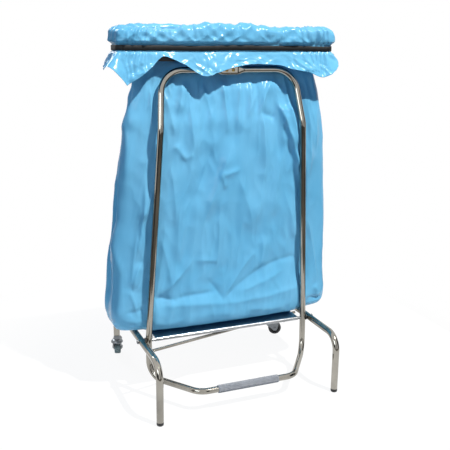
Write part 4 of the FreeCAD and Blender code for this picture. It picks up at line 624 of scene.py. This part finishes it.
def bentLine(corners, bends, pitch):
    # Centre line through the corners with an arc of its own radius at each bend, evenly spaced.
    corners = np.asarray(corners, float)
    runs = [corners[:1]]
    for index, radius in enumerate(bends, start=1):
        back = corners[index - 1] - corners[index]
        onward = corners[index + 1] - corners[index]
        back, onward = back / np.linalg.norm(back), onward / np.linalg.norm(onward)
        half = math.acos(float(np.clip(back @ onward, -1, 1))) / 2
        inward = (back + onward) / np.linalg.norm(back + onward)
        centre = corners[index] + inward * radius / math.sin(half)
        first = (corners[index] + back * radius / math.tan(half) - centre) / radius
        angle = np.linspace(0, math.pi - 2 * half, 24)[:, None]
        runs.append(centre + radius * (first * np.cos(angle) - back * np.sin(angle)))
    runs.append(corners[-1:])
    line = np.concatenate(runs)
    run = np.concatenate([[0.0], np.cumsum(np.linalg.norm(np.diff(line, axis=0), axis=1))])
    at = np.linspace(0, run[-1], int(run[-1] / pitch) + 1)
    return np.stack([np.interp(at, run, line[:, k]) for k in range(3)], 1)


def tubeGrid(line, radius, upright, sections=40, reshape=None):
    # Circle of the radius swept along the line: cosine to the side, sine upward from the tangent.
    tangent = np.gradient(line, axis=0)
    tangent /= np.linalg.norm(tangent, axis=1)[:, None]
    side = np.cross(tangent, upright)
    side /= np.linalg.norm(side, axis=1)[:, None]
    up = np.cross(side, tangent)
    turn = np.linspace(2 * math.pi, 0, sections, endpoint=False)
    sideways = np.repeat(np.cos(turn)[None, :] * radius, len(line), 0)
    upward = np.repeat(np.sin(turn)[None, :] * radius, len(line), 0)
    if reshape is not None:
        sideways, upward = reshape(line, sideways, upward)
    return line[:, None] + sideways[..., None] * side[:, None] + upward[..., None] * up[:, None]


print("stand tubes")

# Bent tubes, in mm: corners of the centre lines and radii of their bends. The pedal loop and the
# rear hoop are given as half lines that end on the middle plane and are then mirrored.
standTubes = {
    "pitch": 3.0, "frameX": 242.0, "frameRadius": 9.0, "loopRadius": 8.0, "braceRadius": 4.0,
    "frame": ((0, 9), (0, 157), (419, 157), (419, 68)), "frameBends": (42, 42),
    "loop": (
        (0, 21, 57), (131, 21, 57), (223, 150, 57), (223, 153, 157), (190.5, 134, 701), (176.5, 170, 834.5),
        (0, 170, 834.5),
    ),
    "loopBends": (45, 45, 300, 60, 60),
    "hoop": ((200, 368, 152), (176.5, 218, 834.5), (0, 218, 834.5)), "hoopBends": (60,),
    "cross": ((-233, 368, 152), (233, 368, 152)),
    "brace": ((-236, 113.4, 143.8), (236, 224.6, 143.8)),
    "flatHalf": 20.0, "flatEnd": 38.0, "flatThick": 2.5, "flatTall": 11.0,
    "seamHeight": 781.0, "seamHalf": 1.6,
}


def mirrored(line):
    # A half line that ends on the middle plane, followed by its mirror image.
    return np.concatenate([line, line[-2::-1] * np.array([-1.0, 1.0, 1.0])])


def flattened(line, sideways, upward):
    # Tube beaten flat where it crosses the middle at the top, with a thin ring on the left upright.
    radius = standTubes["loopRadius"]
    flat = 1 - softStep(np.abs(line[:, :1]), standTubes["flatHalf"], standTubes["flatEnd"])
    flat = flat * (line[:, 2:] > 800)
    ring = np.exp(-((line[:, 2:] - standTubes["seamHeight"]) / standTubes["seamHalf"]) ** 2)
    ring = ring * (line[:, :1] < 0) * (line[:, 1:2] < 190)
    square = 1 - 0.45 * flat
    sideways = np.sign(sideways) * np.abs(sideways / radius) ** square * radius * (1 + 0.07 * ring)
    upward = np.sign(upward) * np.abs(upward / radius) ** square * radius * (1 + 0.07 * ring)
    sideways = sideways * (1 + flat * (standTubes["flatTall"] / radius - 1))
    return sideways, upward * (1 + flat * (standTubes["flatThick"] / radius - 1))


bodyOf = {node: body for body, members in frame["record"]["behaviour"]["bodies"].items() for node in members}


def standFor(piece, node):
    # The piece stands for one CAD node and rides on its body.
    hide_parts(node)
    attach(piece, bodyOf[node])


pitch = standTubes["pitch"]
for name, side in (("left", -1), ("right", 1)):
    corners = [(side * standTubes["frameX"], y, z) for y, z in standTubes["frame"]]
    line = bentLine(corners, standTubes["frameBends"], pitch)
    grid = tubeGrid(line, standTubes["frameRadius"], (1.0, 0.0, 0.0))
    standFor(gridObject(name + "FrameTube", grid, chrome, caps=("first", "last")), name + "_side_frame")
loopLine = mirrored(bentLine(standTubes["loop"], standTubes["loopBends"], pitch))[:-1]
grid = tubeGrid(loopLine, standTubes["loopRadius"], (0.0, 1.0, 0.0), reshape=flattened)
standFor(gridObject("pedalLoopTube", grid, chrome, along=True), "pedal_loop")
hoopLine = mirrored(bentLine(standTubes["hoop"], standTubes["hoopBends"], pitch))
grid = tubeGrid(hoopLine, standTubes["loopRadius"], (0.0, 1.0, 0.0), reshape=flattened)
standFor(gridObject("rearHoopTube", grid, chrome, caps=("first", "last")), "rear_hoop")
grid = tubeGrid(bentLine(standTubes["cross"], (), 20.0), standTubes["frameRadius"], (0.0, 1.0, 0.0))
standFor(gridObject("crossTube", grid, chrome, caps=("first", "last")), "rear_cross_tube")
grid = tubeGrid(bentLine(standTubes["brace"], (), 20.0), standTubes["braceRadius"], (0.0, 0.0, 1.0))
standFor(gridObject("braceRod", grid, chrome, caps=("first", "last")), "brace_rod")

print("grip sleeve and mouth band")

# Fluted vinyl sleeve on the pedal bar: radius = outer less a pulse of the angle, once a flute, that
# turns slowly along the bar; the two ends are rounded over.
gripSleeve = {
    "half": 84.0, "radius": 10.2, "y": 21.0, "z": 57.0, "flutes": 24, "depth": 1.0, "twist": 1.1, "edge": 2.2,
    "rows": 61, "columns": 240,
}
share = np.linspace(-1, 1, gripSleeve["rows"])
share = np.sign(share) * (1 - (1 - np.abs(share)) ** 1.5)
along = (share * gripSleeve["half"])[:, None]
turn = np.linspace(0, 2 * math.pi, gripSleeve["columns"], endpoint=False)[None, :]
pulse = 0.5 - 0.5 * np.cos(gripSleeve["flutes"] * turn + gripSleeve["twist"] * along / gripSleeve["radius"])
toEnd = np.clip((gripSleeve["half"] - np.abs(along)) / gripSleeve["edge"], 0, 1)
radius = gripSleeve["radius"] - gripSleeve["depth"] * pulse ** 2 - 1.6 * (1 - np.sqrt(1 - (1 - toEnd) ** 2))
points = np.stack([
    along + 0 * radius, gripSleeve["y"] + radius * np.cos(turn), gripSleeve["z"] + radius * np.sin(turn),
], -1)
standFor(gridObject("gripSleeve", points, sleeveVinyl, caps=("first", "last")), "pedal_sleeve")

# Flat rubber band round both jaws: eight corners of its section carried round a rounded rectangle.
mouthBand = {"inner": 2.0, "thick": 1.6, "low": 881.0, "high": 893.0, "round": 0.45, "corner": 16.0, "waver": 0.7}
inner, outer = mouthBand["inner"], mouthBand["inner"] + mouthBand["thick"]
low, high, edge = mouthBand["low"], mouthBand["high"], mouthBand["round"]
outward = np.array([inner + edge, outer - edge, outer, outer, outer - edge, inner + edge, inner, inner])
height = np.array([low, low, low + edge, high - edge, high, high, high - edge, low + edge])
half, reach = bagFilm["jawHalf"] + outward, bagFilm["jawReach"] + outward
x, y = ringPlan(
    half, half, bagFilm["mouthY"] - reach, bagFilm["mouthY"] + reach, mouthBand["corner"] + outward, 0 * outward,
)
waver = mouthBand["waver"] * (np.sin(x / 61.0 + y / 23.0) + 0.6 * np.sin(x / 27.0 + 1.3))
points = np.stack([x, y, height[:, None] + waver], -1)
bandRing = gridObject("mouthBand", points, bandRubber, along=True)
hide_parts("mouth_band")
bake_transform(bandRing)

print("smooth small pieces")


def smoothCopy(node, material, limit=32.0):
    # Merged copy of a CAD node, shaded smooth across edges that turn by less than the limit.
    mesh = bpy.data.meshes.new(node + "Smooth")
    work = bmesh.new()
    work.from_mesh(nodes[node].data)
    bmesh.ops.remove_doubles(work, verts=work.verts, dist=0.000004)
    work.to_mesh(mesh)
    work.free()
    if "custom_normal" in mesh.attributes:
        mesh.attributes.remove(mesh.attributes["custom_normal"])
    mesh.materials.clear()
    mesh.materials.append(material)
    mesh.shade_smooth()
    mesh.set_sharp_from_angle(angle=math.radians(limit))
    piece = bpy.data.objects.new(node + "Smooth", mesh)
    bpy.context.scene.collection.objects.link(piece)
    standFor(piece, node)


for node, material, slot in (
    ("left_foot_cap", blackPlastic, "dark_plastic"), ("right_foot_cap", blackPlastic, "dark_plastic"),
    ("pivot_axle", zinc, "steel"), ("axle_nuts", zinc, "steel"), ("pivot_washers", blackPlastic, "dark_plastic"),
    ("tray_screws", zinc, "steel"), ("rear_jaw", blackPlastic, "jaw_plastic"),
    ("front_jaw", blackPlastic, "jaw_plastic"),
    ("rear_rivets", rivetBrass, "brass_rivet"), ("front_rivets", rivetBrass, "brass_rivet"),
    ("left_caster_tyre", greyTread, "left_tyre"), ("right_caster_tyre", blackTread, "right_tyre"),
):
    smoothCopy(node, material)
for side in ("left", "right"):
    for part, material, slot in (
        ("caster_stem", zinc, "caster_steel"), ("caster_fork", zinc, "caster_steel"),
        ("caster_axle", zinc, "caster_steel"), ("caster_balls", zinc, "caster_steel"),
        ("brake_pin", zinc, "caster_steel"),
        ("brake_lever", blackPlastic, "dark_plastic"), ("caster_hub", blackPlastic, "dark_plastic"),
    ):
        smoothCopy(side + "_" + part, material)

print("camera, lights and floor")

photoView = {
    "place": (-706.98, -1515.94, 917.15), "yaw": 22.526, "pitch": 14.658, "roll": 0.669,
    "focal": 725.49, "frame": 450.0,
}
yaw, pitch, roll = (math.radians(photoView[key]) for key in ("yaw", "pitch", "roll"))
ahead = np.array([math.sin(yaw) * math.cos(pitch), math.cos(yaw) * math.cos(pitch), -math.sin(pitch)])
level = np.array([math.cos(yaw), -math.sin(yaw), 0.0])
above = np.cross(level, ahead)
rightward = math.cos(roll) * level + math.sin(roll) * above
upward = -math.sin(roll) * level + math.cos(roll) * above
cameraData = bpy.data.cameras.new("photoCamera")
cameraData.sensor_width = 36.0
cameraData.lens = 36.0 * photoView["focal"] / photoView["frame"]
cameraData.clip_start, cameraData.clip_end = 0.05, 60.0
camera = bpy.data.objects.new("photoCamera", cameraData)
bpy.context.scene.collection.objects.link(camera)
turn = np.eye(4)
turn[:3, 0], turn[:3, 1], turn[:3, 2] = rightward, upward, -ahead
turn[:3, 3] = toFrame(photoView["place"])
camera.matrix_world = Matrix(turn.tolist())
bpy.context.scene.camera = camera
bpy.context.scene.view_settings.view_transform = "Standard"


def areaLamp(name, place, target, size, power, colour):
    # Rectangular soft lamp at a place in metres, facing a target.
    data = bpy.data.lights.new(name, "AREA")
    data.shape, data.size, data.size_y, data.energy, data.color = "RECTANGLE", size[0], size[1], power, colour
    lamp = bpy.data.objects.new(name, data)
    bpy.context.scene.collection.objects.link(lamp)
    back = np.array(place, float) - np.array(target, float)
    back /= np.linalg.norm(back)
    side = np.cross([0.0, 0.0, 1.0], back)
    side /= np.linalg.norm(side)
    matrix = np.eye(4)
    matrix[:3, 0], matrix[:3, 1], matrix[:3, 2], matrix[:3, 3] = side, np.cross(back, side), back, place
    lamp.matrix_world = Matrix(matrix.tolist())
    return lamp


# A small lamp high at the right front gives the crisp shadows; wide weak ones open rear and left.
areaLamp("highKey", (1.5, -2.8, 5.3), (0.0, 0.0, 0.5), (0.14, 0.14), 600.0, (1.0, 0.97, 0.92))
areaLamp("rearFill", (-1.2, 3.4, 2.8), (0.0, 0.0, 0.5), (1.2, 1.2), 60.0, (0.95, 0.98, 1.0))
areaLamp("leftFill", (-2.6, -2.2, 1.8), (0.0, 0.0, 0.5), (1.4, 1.4), 30.0, (0.86, 0.94, 1.0))

world = bpy.data.worlds.new("studio")
bpy.context.scene.world = world
world.use_nodes = True
tree = world.node_tree
tree.nodes.clear()
# Blue sky light on the object; white background for the camera, for gloss and through clear parts.
place = addNode(tree, "ShaderNodeTexCoord")
parts = addNode(tree, "ShaderNodeSeparateXYZ", links={"Vector": place.outputs["Generated"]})
sky = rampBetween(tree, parts.outputs["Z"], linear("#9CC6F0"), linear("#7FB6F2"), 0.0, 0.8)
surround = addNode(tree, "ShaderNodeBackground", values={"Strength": 0.38}, links={"Color": sky.outputs["Color"]})
backdrop = addNode(tree, "ShaderNodeBackground", values={"Color": (1, 1, 1, 1), "Strength": 1.0})


def seenRays(tree):
    # One for camera, glossy and transmission rays, zero for the rest.
    path = addNode(tree, "ShaderNodeLightPath")
    both = addNode(tree, "ShaderNodeMath", {"operation": "MAXIMUM"}, links={
        0: path.outputs["Is Camera Ray"], 1: path.outputs["Is Glossy Ray"],
    })
    return addNode(tree, "ShaderNodeMath", {"operation": "MAXIMUM"}, links={
        0: both.outputs["Value"], 1: path.outputs["Is Transmission Ray"],
    }).outputs["Value"]


choice = addNode(tree, "ShaderNodeMixShader", links={
    "Fac": seenRays(tree), 1: surround.outputs["Background"], 2: backdrop.outputs["Background"],
})
addNode(tree, "ShaderNodeOutputWorld", links={"Surface": choice.outputs["Shader"]})


def stageSheet(name, corners, material):
    # Flat four-cornered sheet of the set, corners in metres.
    mesh = bpy.data.meshes.new(name)
    mesh.from_pydata(corners, [], [(0, 1, 2, 3)])
    mesh.materials.append(material)
    sheet = bpy.data.objects.new(name, mesh)
    bpy.context.scene.collection.objects.link(sheet)
    return sheet


# White floor: mostly its own white to the rays that are seen, so that only a faint shadow shows.
floorPaper, tree, shader = newMaterial("white paper floor", {"Base Color": linear("#F4F4F4"), "Roughness": 0.9})
paper = addNode(tree, "ShaderNodeEmission", values={"Color": (1, 1, 1, 1), "Strength": 1.0})
place = addNode(tree, "ShaderNodeTexCoord")
away = addNode(tree, "ShaderNodeVectorMath", {"operation": "LENGTH"}, links={0: place.outputs["Object"]})
cover = addNode(
    tree, "ShaderNodeMapRange", {"interpolation_type": "SMOOTHSTEP"},
    {"From Min": 0.35, "From Max": 0.95, "To Min": 0.92, "To Max": 1.0}, {"Value": away.outputs["Value"]},
)
share = addNode(tree, "ShaderNodeMath", {"operation": "MULTIPLY"}, links={
    0: cover.outputs["Result"], 1: seenRays(tree),
})
mixed = addNode(tree, "ShaderNodeMixShader", links={
    "Fac": share.outputs["Value"], 1: shader.outputs["BSDF"], 2: paper.outputs["Emission"],
})
tree.links.new(mixed.outputs["Shader"], tree.nodes["Material Output"].inputs["Surface"])
stageSheet("floor", [(-9, -9, 0), (9, -9, 0), (9, 12, 0), (-9, 12, 0)], floorPaper)

# Brown ground cloths and dark flags, hidden from the camera, which the tubes mirror.
groundBrown, tree, shader = newMaterial("brown ground cloth", {"Base Color": linear("#6E685C"), "Roughness": 0.9})
patchy = objectNoise(tree, 3.0, 4.0, 0.6)
ramp = rampBetween(tree, patchy.outputs["Fac"], linear("#2E2B26"), linear("#58534A"))
tree.links.new(ramp.outputs["Color"], shader.inputs["Base Color"])
for name, corners in (
    ("frontCloth", [(-3.4, -4.4, 0.004), (2.6, -4.4, 0.004), (2.6, -0.75, 0.004), (-3.4, -0.75, 0.004)]),
    ("leftCloth", [(-3.4, -0.75, 0.004), (-0.8, -0.75, 0.004), (-0.8, 3.0, 0.004), (-3.4, 3.0, 0.004)]),
    ("rightCloth", [(0.8, -0.75, 0.004), (3.4, -0.75, 0.004), (3.4, 0.5, 0.004), (0.8, 0.5, 0.004)]),
):
    stageSheet(name, corners, groundBrown).visible_camera = False
flagBlack, tree, shader = newMaterial("dark blue flag cloth", {"Base Color": linear("#1B222B"), "Roughness": 0.9})
weave = objectNoise(tree, 200.0, 2.0, 0.5)
ramp = rampBetween(tree, weave.outputs["Fac"], linear("#151B23"), linear("#232C37"))
tree.links.new(ramp.outputs["Color"], shader.inputs["Base Color"])
for name, corners in (
    ("leftFlag", [(-1.5, -2.2, 0.0), (-1.5, -0.4, 0.0), (-1.5, -0.4, 0.75), (-1.5, -2.2, 0.75)]),
    ("rightFlag", [(1.6, -1.7, 0.0), (1.6, -0.3, 0.0), (1.6, -0.3, 1.5), (1.6, -1.7, 1.5)]),
    ("frontFlag", [(-0.1, -3.0, 0.0), (0.7, -3.0, 0.0), (0.7, -3.0, 1.7), (-0.1, -3.0, 1.7)]),
):
    stageSheet(name, corners, flagBlack).visible_camera = False
